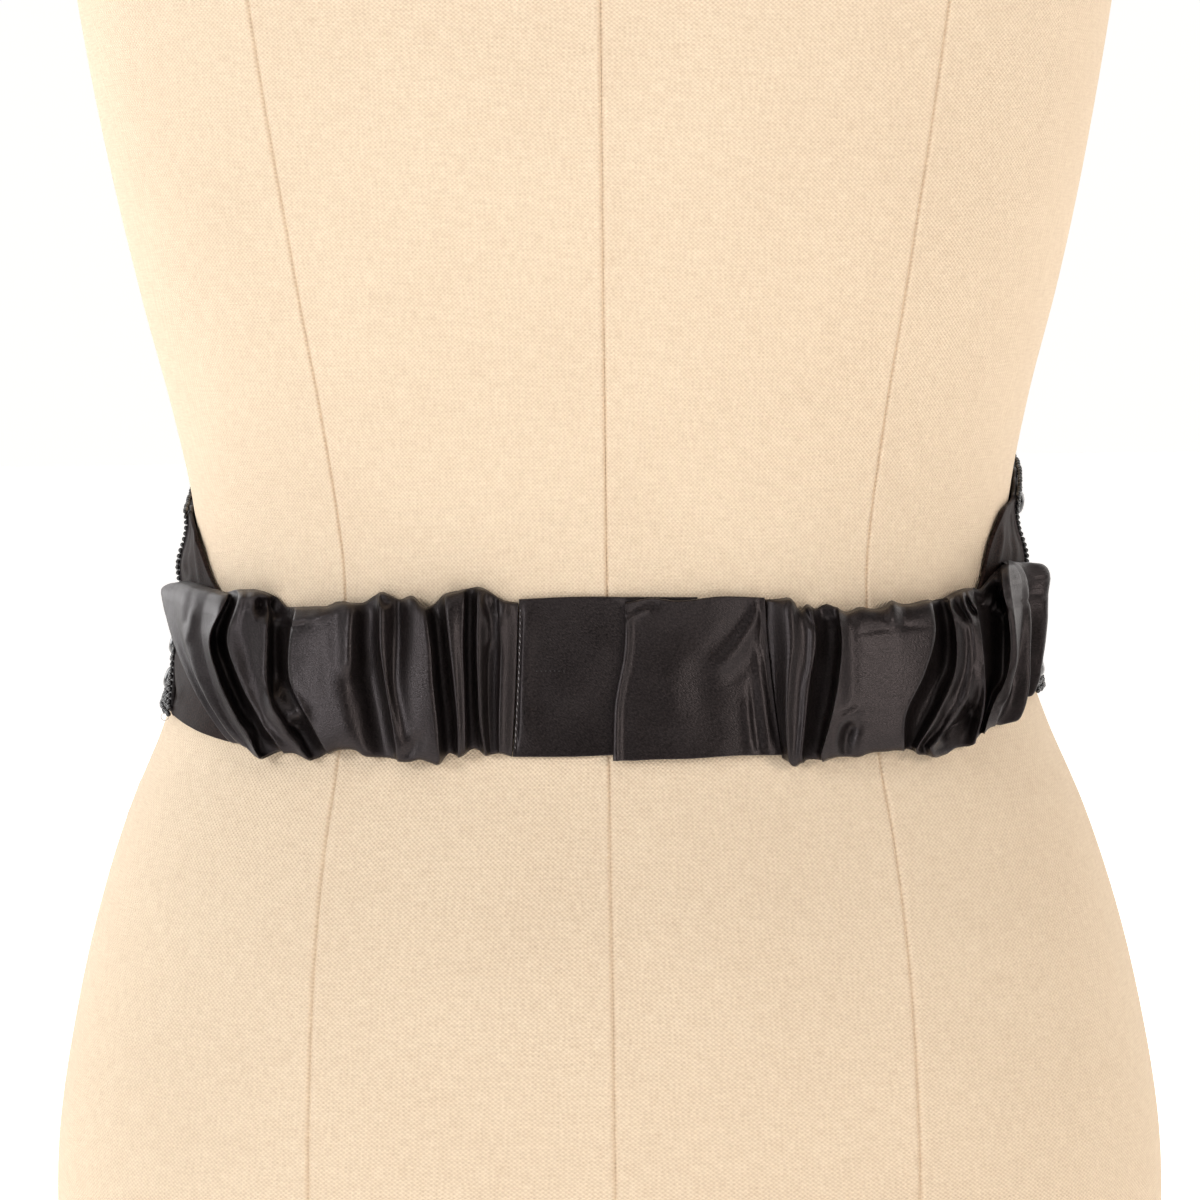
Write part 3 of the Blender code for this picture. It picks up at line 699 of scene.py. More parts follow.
class Finish(Tree):
    """A material under construction: its nodes, and its Principled surface."""

    def __init__(self, name):
        self.material = bpy.data.materials.new(name)
        super().__init__(self.material)
        self.surface = self.nodes["Principled BSDF"]

    def cloth(self):
        """The cloth's flat place in millimetres."""
        return self.node("ShaderNodeUVMap", {"uv_map": "cloth"}, {})

    def solid(self):
        """The place in the piece's own space, in metres."""
        return self.node("ShaderNodeTexCoord", {}, {}, "Object")

    def part(self, vector, axis):
        """One part of a vector: its X, Y or Z."""
        return self.node("ShaderNodeSeparateXYZ", {}, {0: vector}, axis)

    def wave(self, value):
        """The sine of a value."""
        return self.node("ShaderNodeMath", {"operation": "SINE"}, {0: value})

    def noise(self, vector, scale, detail=2.0, roughness=0.5, stretch=(1.0, 1.0, 1.0)):
        """Even noise from 0 to 1 on a vector that is stretched first."""
        moved = self.node("ShaderNodeMapping", {}, {"Vector": vector, "Scale": stretch})
        return self.node("ShaderNodeTexNoise", {"noise_dimensions": "3D"},
                         {"Vector": moved, "Scale": scale, "Detail": detail, "Roughness": roughness})

    def spread(self, value, low, high):
        """A value carried from the range low to high onto 0 to 1, and held there."""
        return self.node("ShaderNodeMapRange", {"clamp": True}, {0: value, 1: low, 2: high, 3: 0.0, 4: 1.0})

    def mix(self, share, first, second):
        """A colour between two colours."""
        return self.node("ShaderNodeMix", {"data_type": "RGBA"}, {0: share, 6: first, 7: second}, 2)

    def bump(self, height, distance, strength):
        """A normal from a height field."""
        return self.node("ShaderNodeBump", {}, {"Height": height, "Distance": distance,
                                                "Strength": strength})

    def dress(self, **sockets):
        """Puts values on the surface's sockets; names are written with underscores."""
        for name, value in sockets.items():
            self.put(self.surface.inputs[name.replace("_", " ")], value)
        return self.material


def rgba(colour, share=1.0):
    """A colour property as an opaque colour, made lighter or darker by a share."""
    return (*(min(1.0, c * share) for c in colour[:3]), 1.0)


def satin_finish(context, name, share=1.0, painted_sheen_warmth=(1.0, 1.0, 1.0), worn=0.0, polish=1.0):
    """Black satin: a fine slanting grain, small flecks of the floats and a cloudy sheen."""
    looks, finish = context.scene.cummerbund_satin, Finish(name)
    flat = finish.cloth()
    slant = {"Vector": flat, "Rotation": (0.0, 0.0, looks.grain_angle), "Scale": (1.0, 2.2, 1.0)}
    lay = finish.node("ShaderNodeMapping", {"vector_type": "TEXTURE"}, slant)
    grain = finish.noise(lay, MM / looks.grain_pitch, 2.0, 0.6)
    fleck = finish.noise(flat, 1.7, 2.0, 0.7)
    cloud = finish.noise(flat, 0.09, 3.0, 0.55)
    # share and the warmth make lighter, darker or warmer copies of the satin's colours; on the tabs the
    # lighter, warmer copy is painted sheen
    dark = rgba([c * w for c, w in zip(looks.colour, painted_sheen_warmth)], share)
    light = rgba([c * w for c, w in zip(looks.highlight, painted_sheen_warmth)], share)
    tone = finish.spread(fleck * 0.5 + grain * 0.5 + cloud * 0.1, 0.46, 0.72)
    rough = looks.roughness + 0.15 * (fleck - 0.5) + 0.3 * (grain - 0.5) + 0.06 * (cloud - 0.5)
    height = grain * 1.2 + fleck * 0.4
    return finish.dress(
        Base_Color=finish.mix(tone, dark, light), Roughness=rough + worn,
        Specular_IOR_Level=looks.gloss * polish, Specular_Tint=rgba(looks.sheen_tint),
        Normal=finish.bump(height, 0.0002, looks.grain_depth))


def linen_finish(context, name):
    """Unbleached plain-weave linen: crossing threads, slubs and faint warm blotches."""
    looks, finish = context.scene.cummerbund_linen, Finish(name)
    flat = finish.cloth()
    turn = math.pi / (looks.thread_pitch / MM)
    bend = finish.noise(flat, 0.22, 2.0, 0.6)
    warp = finish.wave(finish.part(flat, "X") * turn + bend * 1.6)
    weft = finish.wave(finish.part(flat, "Y") * turn + bend * 1.2)
    weave = warp * weft
    slub_up = finish.noise(flat, 1.6, 2.0, 0.6, (1.0, 0.12, 1.0))
    slub_along = finish.noise(flat, 1.6, 2.0, 0.6, (0.12, 1.0, 1.0))
    blotch = finish.noise(flat, 0.02, 4.0, 0.6)
    threads = 0.5 + 0.34 * weave + 0.75 * (slub_up - 0.5) + 0.75 * (slub_along - 0.5)
    tone = finish.spread(threads + (blotch - 0.5) * 0.35, 0.0, 0.9)
    cloth = finish.mix(tone, rgba(looks.shadow), rgba(looks.colour))
    height = 0.6 * weave + 0.9 * slub_up + 0.9 * slub_along
    return finish.dress(
        Base_Color=cloth, Roughness=0.82 + 0.12 * blotch, Specular_IOR_Level=0.25,
        Sheen_Weight=0.1, Sheen_Roughness=0.6, Sheen_Tint=rgba(looks.colour),
        Normal=finish.bump(height, 0.0002, looks.weave_depth))


def thread_finish(name, colour, roughness):
    """Twisted sewing thread, a little darker between its strands."""
    finish = Finish(name)
    where = finish.solid()
    twist = finish.noise(where, 900.0, 2.0, 0.6, (1.0, 1.0, 2.5))
    return finish.dress(
        Base_Color=finish.mix(twist, rgba(colour, 0.6), rgba(colour, 1.3)), Roughness=roughness,
        Sheen_Weight=0.2, Normal=finish.bump(twist, 0.0001, 0.5))


def glass_finish(context, name, colour, roughness, mottle=160.0):
    """Opaque polished glass, with faint swirls and a thin film of handling marks."""
    looks, finish = context.scene.cummerbund_beads, Finish(name)
    where = finish.solid()
    swirl = finish.noise(where, mottle, 3.0, 0.6)
    return finish.dress(
        Base_Color=finish.mix(swirl, rgba(colour, 0.6), rgba(colour, 1.6)),
        Roughness=roughness + 0.12 * swirl, Specular_IOR_Level=looks.gloss,
        Coat_Weight=0.25, Coat_Roughness=0.08,
        Normal=finish.bump(swirl, 0.0002, 0.15))


def clear_finish(name):
    """Clear nylon thread."""
    finish = Finish(name)
    where = finish.solid()
    cloud = finish.noise(where, 700.0)
    return finish.dress(Base_Color=finish.mix(cloud, (0.5, 0.42, 0.36, 1), (0.75, 0.66, 0.6, 1)),
                        Roughness=0.2, Alpha=0.55 + 0.2 * cloud, IOR=1.5)


def paper_finish(name, colour, glow):
    """Smooth matt studio paper with a very faint tooth, lit through from below."""
    finish = Finish(name)
    where = finish.solid()
    tooth = finish.noise(where, 3.0, 3.0)
    return finish.dress(Base_Color=finish.mix(tooth, rgba(colour, 0.985), rgba(colour)),
                        Roughness=0.95, Specular_IOR_Level=0.1,
                        Emission_Color=rgba(colour), Emission_Strength=glow)


# --------------------------------------------------------------------------- settings


def colour_property(name, description, default):
    """A colour that the user can change."""
    return bpy.props.FloatVectorProperty(name=name, description=description, subtype="COLOR", size=3,
                                         min=0.0, max=1.0, default=default)


def share_property(name, description, default, high=1.0):
    """A plain share that the user can change."""
    return bpy.props.FloatProperty(name=name, description=description, default=default, min=0.0,
                                   max=high, subtype="FACTOR")


def length_property(name, description, default):
    """A length in metres that the user can change."""
    return bpy.props.FloatProperty(name=name, description=description, default=default, min=0.0,
                                   soft_max=10.0, precision=5, unit="LENGTH")


class CUMMERBUND_PG_satin(bpy.types.PropertyGroup):
    """The satin of the casings, the closure and the tabs."""
    colour: colour_property("Colour", "Colour of the satin between its floats", (0.0016, 0.0010, 0.0009))
    highlight: colour_property("Floats", "Colour of the satin's floats", (0.0220, 0.0172, 0.0172))
    sheen_tint: colour_property("Sheen tint", "Colour of the satin's reflections", (1.0, 0.88, 0.90))
    roughness: share_property("Roughness", "Roughness of the satin", 0.36)
    gloss: share_property("Gloss", "Strength of the satin's reflection", 0.36)
    grain_pitch: length_property("Grain pitch", "Width of the slanting lines of the grain", 0.00038)
    grain_depth: share_property("Grain depth", "Strength of the grain's relief", 0.5)
    grain_angle: bpy.props.FloatProperty(name="Grain angle", description="Slant of the grain",
                                         default=0.9, subtype="ANGLE", unit="ROTATION")


class CUMMERBUND_PG_linen(bpy.types.PropertyGroup):
    """The linen cover of the form."""
    colour: colour_property("Colour", "Colour of the linen's threads", (0.83, 0.69, 0.52))
    shadow: colour_property("Gaps", "Colour between the linen's threads", (0.64, 0.49, 0.35))
    thread_pitch: length_property("Thread pitch", "Distance between neighbouring threads", 0.0006)
    weave_depth: share_property("Weave depth", "Strength of the weave's relief", 0.7)


class CUMMERBUND_PG_beads(bpy.types.PropertyGroup):
    """The beads, the stones and the sewing."""
    colour: colour_property("Bead colour", "Colour of the small beads", (0.012, 0.011, 0.012))
    stone: colour_property("Stone colour", "Colour of the large stones", (0.004, 0.004, 0.006))
    # Light grey thread, used only for the seam stitches at the closure, where it is painted glint
    thread: colour_property("Thread", "Colour of the sewing thread", (0.30, 0.28, 0.29))
    gloss: share_property("Gloss", "Strength of the beads' reflection", 0.5)
    pitch: length_property("Bead pitch", "Distance between beads on a string", 0.0017)
    radius: length_property("Bead radius", "Radius of a small bead", 0.00082)


class CUMMERBUND_PG_stage(bpy.types.PropertyGroup):
    """The floor, the lights and the camera."""
    floor: colour_property("Floor", "Colour of the floor", (0.95, 0.93, 0.91))
    glow: share_property("Floor glow", "Strength of the light that comes through the floor", 0.7, 2.0)
    backdrop: colour_property("Backdrop", "Colour behind the object", (1.0, 0.985, 0.97))
    key: bpy.props.FloatProperty(name="Key", description="Power that the lamps before the closure share",
                                 default=16.0, min=0.0, unit="POWER")
    side: bpy.props.FloatProperty(name="Sides", description="Power of the lamps behind the object",
                                  default=8.0, min=0.0, unit="POWER")
    fill: share_property("Fill", "Strength of the even light from the camera's side", 0.04, 5.0)
    behind: share_property("Behind", "Strength of the even light from behind the object", 1.2, 5.0)


# --------------------------------------------------------------------------- the stage

# The camera's place, from the photograph's own perspective, in millimetres and degrees
VIEW_TARGET = (0.0, -96.0, 260.0)
VIEW_DISTANCE = 1054.0
VIEW_RISE = 5.0
VIEW_TURN = -0.8
VIEW_ROLL = -0.7
# The focal length, the picture's middle and its width are in the photograph's pixels
VIEW_FOCAL = 3710.0
VIEW_CENTRE = 607.0
FRAME_SIZE = 1200.0
SENSOR = 36.0
BACKDROP_STRENGTH = 1.02
# The place in metres that every lamp points at
LAMP_TARGET = (0.0, -0.05, 0.26)


def view_back():
    """The direction from the camera's target to the camera."""
    rise, turn = math.radians(VIEW_RISE), math.radians(VIEW_TURN)
    return Vector((math.sin(turn) * math.cos(rise), -math.cos(turn) * math.cos(rise), math.sin(rise)))


EYE = Vector(VIEW_TARGET) + view_back() * VIEW_DISTANCE


def camera_matrix():
    """The camera's place and turn, in metres."""
    back, roll = view_back(), math.radians(VIEW_ROLL)
    right = (-back).cross(Vector((0, 0, 1))).normalized()
    up = right.cross(-back)
    right, up = math.cos(roll) * right + math.sin(roll) * up, math.cos(roll) * up - math.sin(roll) * right
    matrix = Matrix((right, up, back)).transposed().to_4x4()
    matrix.translation = EYE * MM
    return matrix


class Lamp(NamedTuple):
    """A soft square light: its name, its place and size in metres, its power and its colour."""
    name: str
    place: tuple
    size: float
    power: float
    colour: tuple


class CUMMERBUND_OT_stage(bpy.types.Operator):
    """Make the floor, the soft studio lights and the camera"""
    bl_idname = "cummerbund.stage"
    bl_label = "Stage"

    def execute(self, context):
        looks, scene = context.scene.cummerbund_stage, context.scene
        self.camera(scene)
        self.lamps(scene, looks)
        self.floor(scene, looks)
        self.surround(scene, looks)
        scene.view_settings.view_transform = "Standard"
        return {"FINISHED"}

    def camera(self, scene):
        """The camera, at the photograph's angle."""
        camera = bpy.data.objects.new("camera", bpy.data.cameras.new("camera"))
        scene.collection.objects.link(camera)
        camera.matrix_world = camera_matrix()
        camera.data.sensor_width = SENSOR
        camera.data.lens = VIEW_FOCAL / FRAME_SIZE * SENSOR
        camera.data.shift_x = -(VIEW_CENTRE - FRAME_SIZE / 2) / FRAME_SIZE
        camera.data.clip_start = 0.01
        scene.camera = camera

    def lamps(self, scene, looks):
        """Soft lamps to the left, to the right, above and behind."""
        cool = (0.98, 0.99, 1.0)
        lamps = (
            Lamp("soft_left", (-1.15, -1.05, 0.75), 0.5, looks.key * 0.58, cool),
            Lamp("wide_left", (-1.6, -0.7, 0.6), 1.8, looks.key * 0.2, cool),
            Lamp("soft_right", (1.1, -1.1, 0.7), 0.5, looks.key * 0.5, (1.0, 0.93, 0.87)),
            Lamp("top", (-0.1, -0.9, 1.6), 0.8, looks.key * 0.25, (1.0, 0.96, 0.92)),
            Lamp("back_left", (-1.15, 0.75, 0.75), 0.9, looks.side, cool),
            Lamp("back_right", (1.15, 0.8, 0.7), 0.9, looks.side * 0.45, (1.0, 0.95, 0.9)),
        )
        for lamp in lamps:
            light = bpy.data.lights.new(lamp.name, "AREA")
            light.size, light.energy, light.color = lamp.size, lamp.power, lamp.colour
            holder = bpy.data.objects.new(lamp.name, light)
            scene.collection.objects.link(holder)
            holder.location = lamp.place
            aim = Vector(LAMP_TARGET) - Vector(lamp.place)
            holder.rotation_euler = aim.to_track_quat("-Z", "Y").to_euler()

    def floor(self, scene, looks):
        """A wide pale floor, just below the form."""
        side, drop = 6.0, -0.0005
        points = [(x, y, drop) for x, y in ((-side, -side), (side, -side), (side, side), (-side, side))]
        mesh = bpy.data.meshes.new("floor")
        mesh.from_pydata(points, [], [(0, 1, 2, 3)])
        mesh.materials.append(paper_finish("floor_paper", looks.floor, looks.glow))
        floor = bpy.data.objects.new("floor", mesh)
        scene.collection.objects.link(floor)

    def surround(self, scene, looks):
        """An even bright backdrop; its light is strong from behind and weak from the camera's side."""
        scene.world = bpy.data.worlds.new("studio")
        tree = Tree(scene.world)
        backdrop = tree.nodes["Background"]
        tree.put(backdrop.inputs["Color"], rgba(looks.backdrop))
        tree.put(backdrop.inputs["Strength"], BACKDROP_STRENGTH)
        where = tree.node("ShaderNodeTexCoord", {}, {}, "Generated")
        depth = tree.node("ShaderNodeSeparateXYZ", {}, {0: where}, "Y")
        strength = tree.node("ShaderNodeMapRange", {},
                             {0: depth, 1: -0.1, 2: 0.7, 3: looks.fill, 4: looks.behind})
        around = tree.node("ShaderNodeBackground", {},
                           {"Color": rgba(looks.backdrop), "Strength": strength})
        in_view = tree.node("ShaderNodeLightPath", {}, {}, "Is Camera Ray")
        seen = Term(tree, backdrop.outputs[0])
        either = tree.node("ShaderNodeMixShader", {}, {0: in_view, 1: around, 2: seen})
        tree.put(tree.nodes["World Output"].inputs["Surface"], either)


# --------------------------------------------------------------------------- the form

# Distances from a seam of the columns beside it, and the number of columns between two seams
SEAM_STEPS = (0.0, 0.22, 0.5, 0.9, 1.5, 2.6, 4.5)
SPAN_STEPS = 12
FAR_FROM_SEAM = 99.0
FORM_ROWS = 190
# The seam's groove and the ridge of its turnings beside it
GROOVE_DEPTH = 0.8
GROOVE_REACH = 0.38
RIDGE_RISE = 0.24
RIDGE_PLACE = 1.2
RIDGE_REACH = 0.9
# The linen's small puckers beside a seam, and its wide hollows between two seams
PUCKER_RISE = 0.05
PUCKER_REACH = 3.0
HOLLOW_RISE = 0.25
# Shares of the rings that close the form's two ends, and the rise of its flat top in metres
END_RINGS = (0.965, 0.9, 0.6, 0.3, 0.04)
END_DOME = 0.0006
FORM_THREAD = (0.62, 0.44, 0.28)


class CUMMERBUND_OT_form(bpy.types.Operator):
    """Make the linen dress form with its sewn seams"""
    bl_idname = "cummerbund.form"
    bl_label = "Dress form"

    def execute(self, context):
        linen = linen_finish(context, "linen")
        height = np.linspace(0.0, FORM_TOP, FORM_ROWS)
        front = GIRTH / 2
        princess = smooth(PRINCESS_SEAM, height, 1)
        seams = [np.zeros_like(height), princess, np.full_like(height, SIDE_ARC), front - princess,
                 np.full_like(height, front), front + princess, np.full_like(height, GIRTH - SIDE_ARC),
                 GIRTH - princess, np.full_like(height, GIRTH)]
        arcs, from_seam = [], []
        near = SEAM_STEPS[-1]
        for first, last in zip(seams, seams[1:]):
            arcs += [first + step for step in SEAM_STEPS]
            arcs += [first + near + (last - first - 2 * near) * k / SPAN_STEPS for k in range(1, SPAN_STEPS)]
            arcs += [last - step for step in SEAM_STEPS[:0:-1]]
            from_seam += [*SEAM_STEPS, *[FAR_FROM_SEAM] * (SPAN_STEPS - 1), *SEAM_STEPS[:0:-1]]
        arc = np.array(arcs)
        distance = np.array(from_seam)[:, None]
        groove = GROOVE_DEPTH * bump_of(distance / GROOVE_REACH)
        ridge = RIDGE_RISE * bump_of((distance - RIDGE_PLACE) / RIDGE_REACH)
        pucker = PUCKER_RISE * ripple(arc, height, 9.0, 5.0, SEED) * bump_of(distance / PUCKER_REACH)
        hollow = HOLLOW_RISE * ripple(arc, height, 60.0, 45.0, SEED + 1)
        height = np.broadcast_to(height, arc.shape)
        points = on_form(arc, height, ridge - groove + pucker + hollow)
        quads, corners = grid_quads(*arc.shape, closed_columns=True)
        chart = np.stack([arc, height], axis=-1)
        chart = np.concatenate([chart, chart[:1] + np.array([GIRTH, 0.0])])
        form = new_piece("linen_form", *self.closed_ends(points, quads, cloth_places(chart, corners)),
                         linen, "linen")
        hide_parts("dress_form")
        self.seam_stitches()
        return {"FINISHED"}

    def closed_ends(self, points, quads, places):
        """The form's grid with its underside and the neck's top, each a few rings round a middle point."""
        columns, rows = points.shape[:2]
        flat, faces, spots = list(points.reshape(-1, 3)), quads.tolist(), list(places)
        for row, up in ((0, False), (rows - 1, True)):
            ring = [i * rows + row for i in range(columns)]
            centre = np.mean([flat[k] for k in ring], axis=0)
            ends = []
            for share in END_RINGS:
                inner = [len(flat) + k for k in range(columns)]
                rise = END_DOME * math.sin(math.pi * share) if up else 0.0
                flat += [centre + (edge - centre) * share + np.array([0, 0, rise]) for edge in points[:, row]]
                ends += [(ring[k - 1], inner[k - 1], inner[k], ring[k]) for k in range(columns)]
                ring = inner
            flat.append(centre)
            ends += [(ring[k - 1], len(flat) - 1, ring[k]) for k in range(columns)]
            faces += [face[::-1] if up else face for face in ends]
            spots += [[flat[c][:2] / MM for c in (face[::-1] if up else face)] for face in ends]
        return np.array(flat), faces, np.array([c for spot in spots for c in spot])

    def seam_stitches(self):
        """Hand stitches that close each side seam below the waist."""
        thread = thread_finish("form_thread", FORM_THREAD, 0.7)
        pitch, length, width = 9.0, 5.2, 0.55
        height = np.arange(8.0, 206.0, pitch)
        centres, axes = [], []
        for side in (SIDE_ARC, GIRTH - SIDE_ARC):
            here, turn = cloth_axes(np.full_like(height, side), height)
            centres.append(here + turn[:, 2] * 0.1 * MM)
            axes.append(turn)
        centres, axes = np.concatenate(centres), np.concatenate(axes)
        sizes = np.tile(np.array([width / 2, length / 2, width / 2]) * MM, (len(centres), 1))
        copies("form_side_stitches", ball_template(8, 8), centres, axes, sizes, thread, "thread")


# --------------------------------------------------------------------------- the casings

FACE_ROWS = 66
# The fullness at a casing's edges, and how squarely it rises from them
EDGE_TIP = 0.58
EDGE_POWER = 6.0
# Share of the band's half height and fullness of the rows that turn over an edge and run along the back
TURN_ROWS = ((1.016, 0.34), (1.012, 0.18), (0.99, 0.06), (0.95, 0.0))
BACK_ROWS = (0.8, 0.5, 0.17, -0.17, -0.5, -0.8)
# What a row is: the face, the turn over an edge or the back
ON_FACE, ON_TURN, ON_BACK = 1.0, 0.5, 0.0
# How far the cloth is evened out where it runs along the back
BACK_EVENNESS = 0.15
TOP_ROLL = 0.8
CREST_SCALLOP = 0.4
LEAST_RISE = 0.8
COLUMN_PITCH = 0.42
# How far a casing's end turns in, step by step: along the band, narrower and nearer to the back
HEM_STEPS = (0.4, 1.4, 3.0)
HEM_RUN = 0.8
HEM_WALL = 0.55
HEM_SINK = 0.9
HEM_INSET = 0.25
HEM_NARROW = 0.02
HEM_TAPER = 0.012
# How far before a tab's end the back starts to rise onto it, and the run of that rise
TAB_RISE_START = 13.0
TAB_RISE_RUN = 8.0
# The offset at which the fold tables read the photograph, and the least turn away from the camera
USUAL_OFFSET = 6.0
LEAST_SLOPE = 0.3


def band_rows():
    """The share across the band, the fullness and the kind of each row of a casing."""
    rows = []
    for step in np.linspace(-1.0, 1.0, FACE_ROWS):
        share = math.sin(step * math.pi / 2)
        fullness = EDGE_TIP + (1 - EDGE_TIP) * math.sqrt(max(0.0, 1 - abs(share) ** EDGE_POWER))
        rows.append((share, fullness, ON_FACE))
    rows += [(share, fullness, ON_TURN) for share, fullness in TURN_ROWS]
    rows += [(share, 0.0, ON_BACK) for share in BACK_ROWS]
    rows += [(-share, fullness, ON_TURN) for share, fullness in TURN_ROWS[::-1]]
    return np.array(rows).T


def seen_across(arc, height, offset):
    """How far to the right a place looks from the camera, in millimetres at its own distance."""
    place = on_form(arc, height, offset) / MM
    return (place[..., 0] - EYE[0]) / (place[..., 1] - EYE[1]) * VIEW_DISTANCE


def true_arc(arc, height, offset):
    """The arc where cloth at an offset looks as cloth at the usual offset does at the given arc."""
    target = seen_across(arc, height, USUAL_OFFSET)
    found = arc
    for _ in range(6):
        here = seen_across(found, height, offset)
        slope = (seen_across(found + 0.5, height, offset) - here) / 0.5
        found = found + (target - here) / np.maximum(slope, LEAST_SLOPE)
    return found


def curve_point(points, t):
    """A point of the cubic curve through four control points."""
    weights = ((1 - t) ** 3, 3 * t * (1 - t) ** 2, 3 * t ** 2 * (1 - t), t ** 3)
    return sum(w * p for w, p in zip(weights, points))


def fold_line(fold, edges, share):
    """The arc, height and offset of a fold's line at shares across the band."""
    arc = np.full_like(share, fold.middle)
    for _ in range(5):
        low, high = smooth(edges, arc, 1), smooth(edges, arc, 2)
        height = (low + high) / 2 + (high - low) / 2 * share
        arc = smooth(np.stack([FOLD_HEIGHTS, fold[:5]], axis=-1), height, 1)
    return arc, height, smooth(np.stack([FOLD_HEIGHTS[::2], fold[5:8]], axis=-1), height, 1)


def gathers(folds, edges, share, fullness, rear):
    """The seen arcs, true arcs, offsets and seen shares of every column of gathered cloth."""
    lines = []
    for place, fold in enumerate(folds):
        arc, height, offset = fold_line(fold, edges, np.clip(share, -1, 1))
        true, is_seen = arc, 0 < place < len(folds) - TRUE_LINES
        if is_seen:
            true = true_arc(arc, height, rear(arc, height) + (offset - EASE) * fullness)
        lines.append((arc, true, offset, np.full_like(arc, is_seen), fold))
    columns = [lines[0][:4]]
    for here, after in zip(lines, lines[1:]):
        steps = int(np.clip(round(np.abs(after[0] - here[0]).mean() / COLUMN_PITCH), 6, 22))
        run, bends = after[0] - here[0], (here[4].after, after[4].before)
        for step in range(1, steps + 1):
            column = []
            for first, last, handle in zip(here[:4], after[:4], (run, run, 0.0, 0.0)):
                points = (first, first + bends[0] * handle, last - bends[1] * handle, last)
                column.append(curve_point(points, step / steps))
            columns.append(column)
    return np.moveaxis(np.array(columns), 1, 0)


def rear_offset(arc, height, side, tab_start, bead_line):
    """The offset of a casing's back, which rises from the form onto the side tab."""
    past = side * (arc - smooth(tab_start, height, 1))
    ramp = np.clip((past + TAB_RISE_START) / TAB_RISE_RUN, 0.0, 1.0)
    ramp = ramp * ramp * (3 - 2 * ramp)
    lift = SATIN + SEAM_GAP + stand_off(arc, height, smooth(bead_line, height, 1))
    return EASE + ramp * lift


def casing(name, folds, creases, edges, tab_start, bead_line, shade, seed):
    """A gathered tube of satin with turned-in ends."""
    share, fullness, kind = band_rows()
    side = math.copysign(1.0, folds[0].middle)

    def rear(arc, height):
        return rear_offset(arc, height, side, tab_start, bead_line)

    seen, arc, offset, is_seen = gathers(folds, edges, share, fullness, rear)
    seen = side * np.maximum.accumulate(side * seen, axis=0)
    plain = np.maximum.accumulate(side * arc, axis=0)
    even = side * (arc[:1] + (arc[-1:] - arc[:1]) * np.linspace(0, 1, len(arc))[:, None])
    plain = side * ((1 - BACK_EVENNESS) * plain + BACK_EVENNESS * even)
    arc = np.where(kind == ON_FACE, arc, np.where(kind == ON_TURN, 0.5 * (arc + plain), plain))
    height = edge_heights(edges, seen, arc, share, np.clip((offset - 3.0) / 6.0, 0, 1.4), seed)
    fine = 0.07 * ripple(arc, height, 3.6, 16.0, seed + 2)
    fine = fine + 0.02 * ripple(arc + height * 0.6, height, 1.6, 7.0, seed + 3)
    fine = fine + 0.10 * ripple(arc, height, 1.5, 7.0, seed + 4) * np.abs(share) ** 3
    lifted = offset - EASE + relief(creases, seen, height) + fine
    bulge = np.maximum(lifted, LEAST_RISE) * fullness
    back = rear(arc, height)
    is_seen = is_seen * np.clip(kind * 2 - 1, 0, 1)
    arc = is_seen * true_arc(seen, height, back + bulge) + (1 - is_seen) * arc
    run, rise = np.diff(arc, axis=0, prepend=arc[:1]), np.diff(bulge, axis=0, prepend=bulge[:1])
    along = np.cumsum(np.hypot(run, rise), axis=0)
    outer, along = hemmed(on_form(arc, height, back + bulge), along, arc, height, back, bulge, side)
    quads, corners = grid_quads(*outer.shape[:2], closed_rows=True)
    if side < 0:
        quads, corners = quads[:, ::-1], corners[:, ::-1]
    places = cloth_places(tube_chart(outer, along * side), corners)
    return new_piece(name, outer.reshape(-1, 3), quads.tolist(), places, shade, "satin")


def edge_heights(edges, seen, arc, share, crest, seed):
    """The heights of a casing's rows; its edges reach out where a crest meets them."""
    low = smooth(edges, seen, 1)
    high = smooth(edges, seen, 2) - TOP_ROLL
    uneven = 0.8 * ripple(arc, share * 40, 4.0, 60.0, seed)
    uneven = uneven + 0.4 * ripple(arc, share * 40, 1.7, 60.0, seed + 1)
    scallop = (CREST_SCALLOP * (crest - 0.45) + 0.25 * uneven) * np.abs(share) ** 5 * np.sign(share)
    return (low + high) / 2 + (high - low) / 2 * share + scallop


def tube_chart(outer, along):
    """The flat cloth places of a tube's grid, with one row more than the tube has."""
    up = np.cumsum(np.linalg.norm(np.diff(outer, axis=1, prepend=outer[:, :1]), axis=-1), axis=1) / MM
    up = np.broadcast_to(up.mean(axis=0), up.shape)
    chart = np.stack([along, up], axis=-1)
    return np.concatenate([chart, chart[:, :1] + np.array([0.0, up[0, -1] + 1.0])], axis=1)


def hemmed(outer, along, arc, height, rear, bulge, side):
    """The tube with its two ends turned in."""
    parts, lengths = [outer], [along]
    middle = height.mean(axis=1, keepdims=True)
    for end, order in ((0, -1), (len(arc) - 1, 1)):
        for step in HEM_STEPS:
            shrink = 1.0 - HEM_TAPER * step - HEM_NARROW
            row = on_form(arc[end] - order * side * step * HEM_RUN + order * side * HEM_INSET,
                          middle[end] + (height[end] - middle[end]) * shrink,
                          rear[end] + HEM_INSET + np.maximum(bulge[end] - HEM_WALL, 0) * HEM_SINK)
            row, length = row[None], along[end][None] + order * step
            if order < 0:
                parts.insert(0, row)
                lengths.insert(0, length)
            else:
                parts.append(row)
                lengths.append(length)
    return np.concatenate(parts), np.concatenate(lengths)


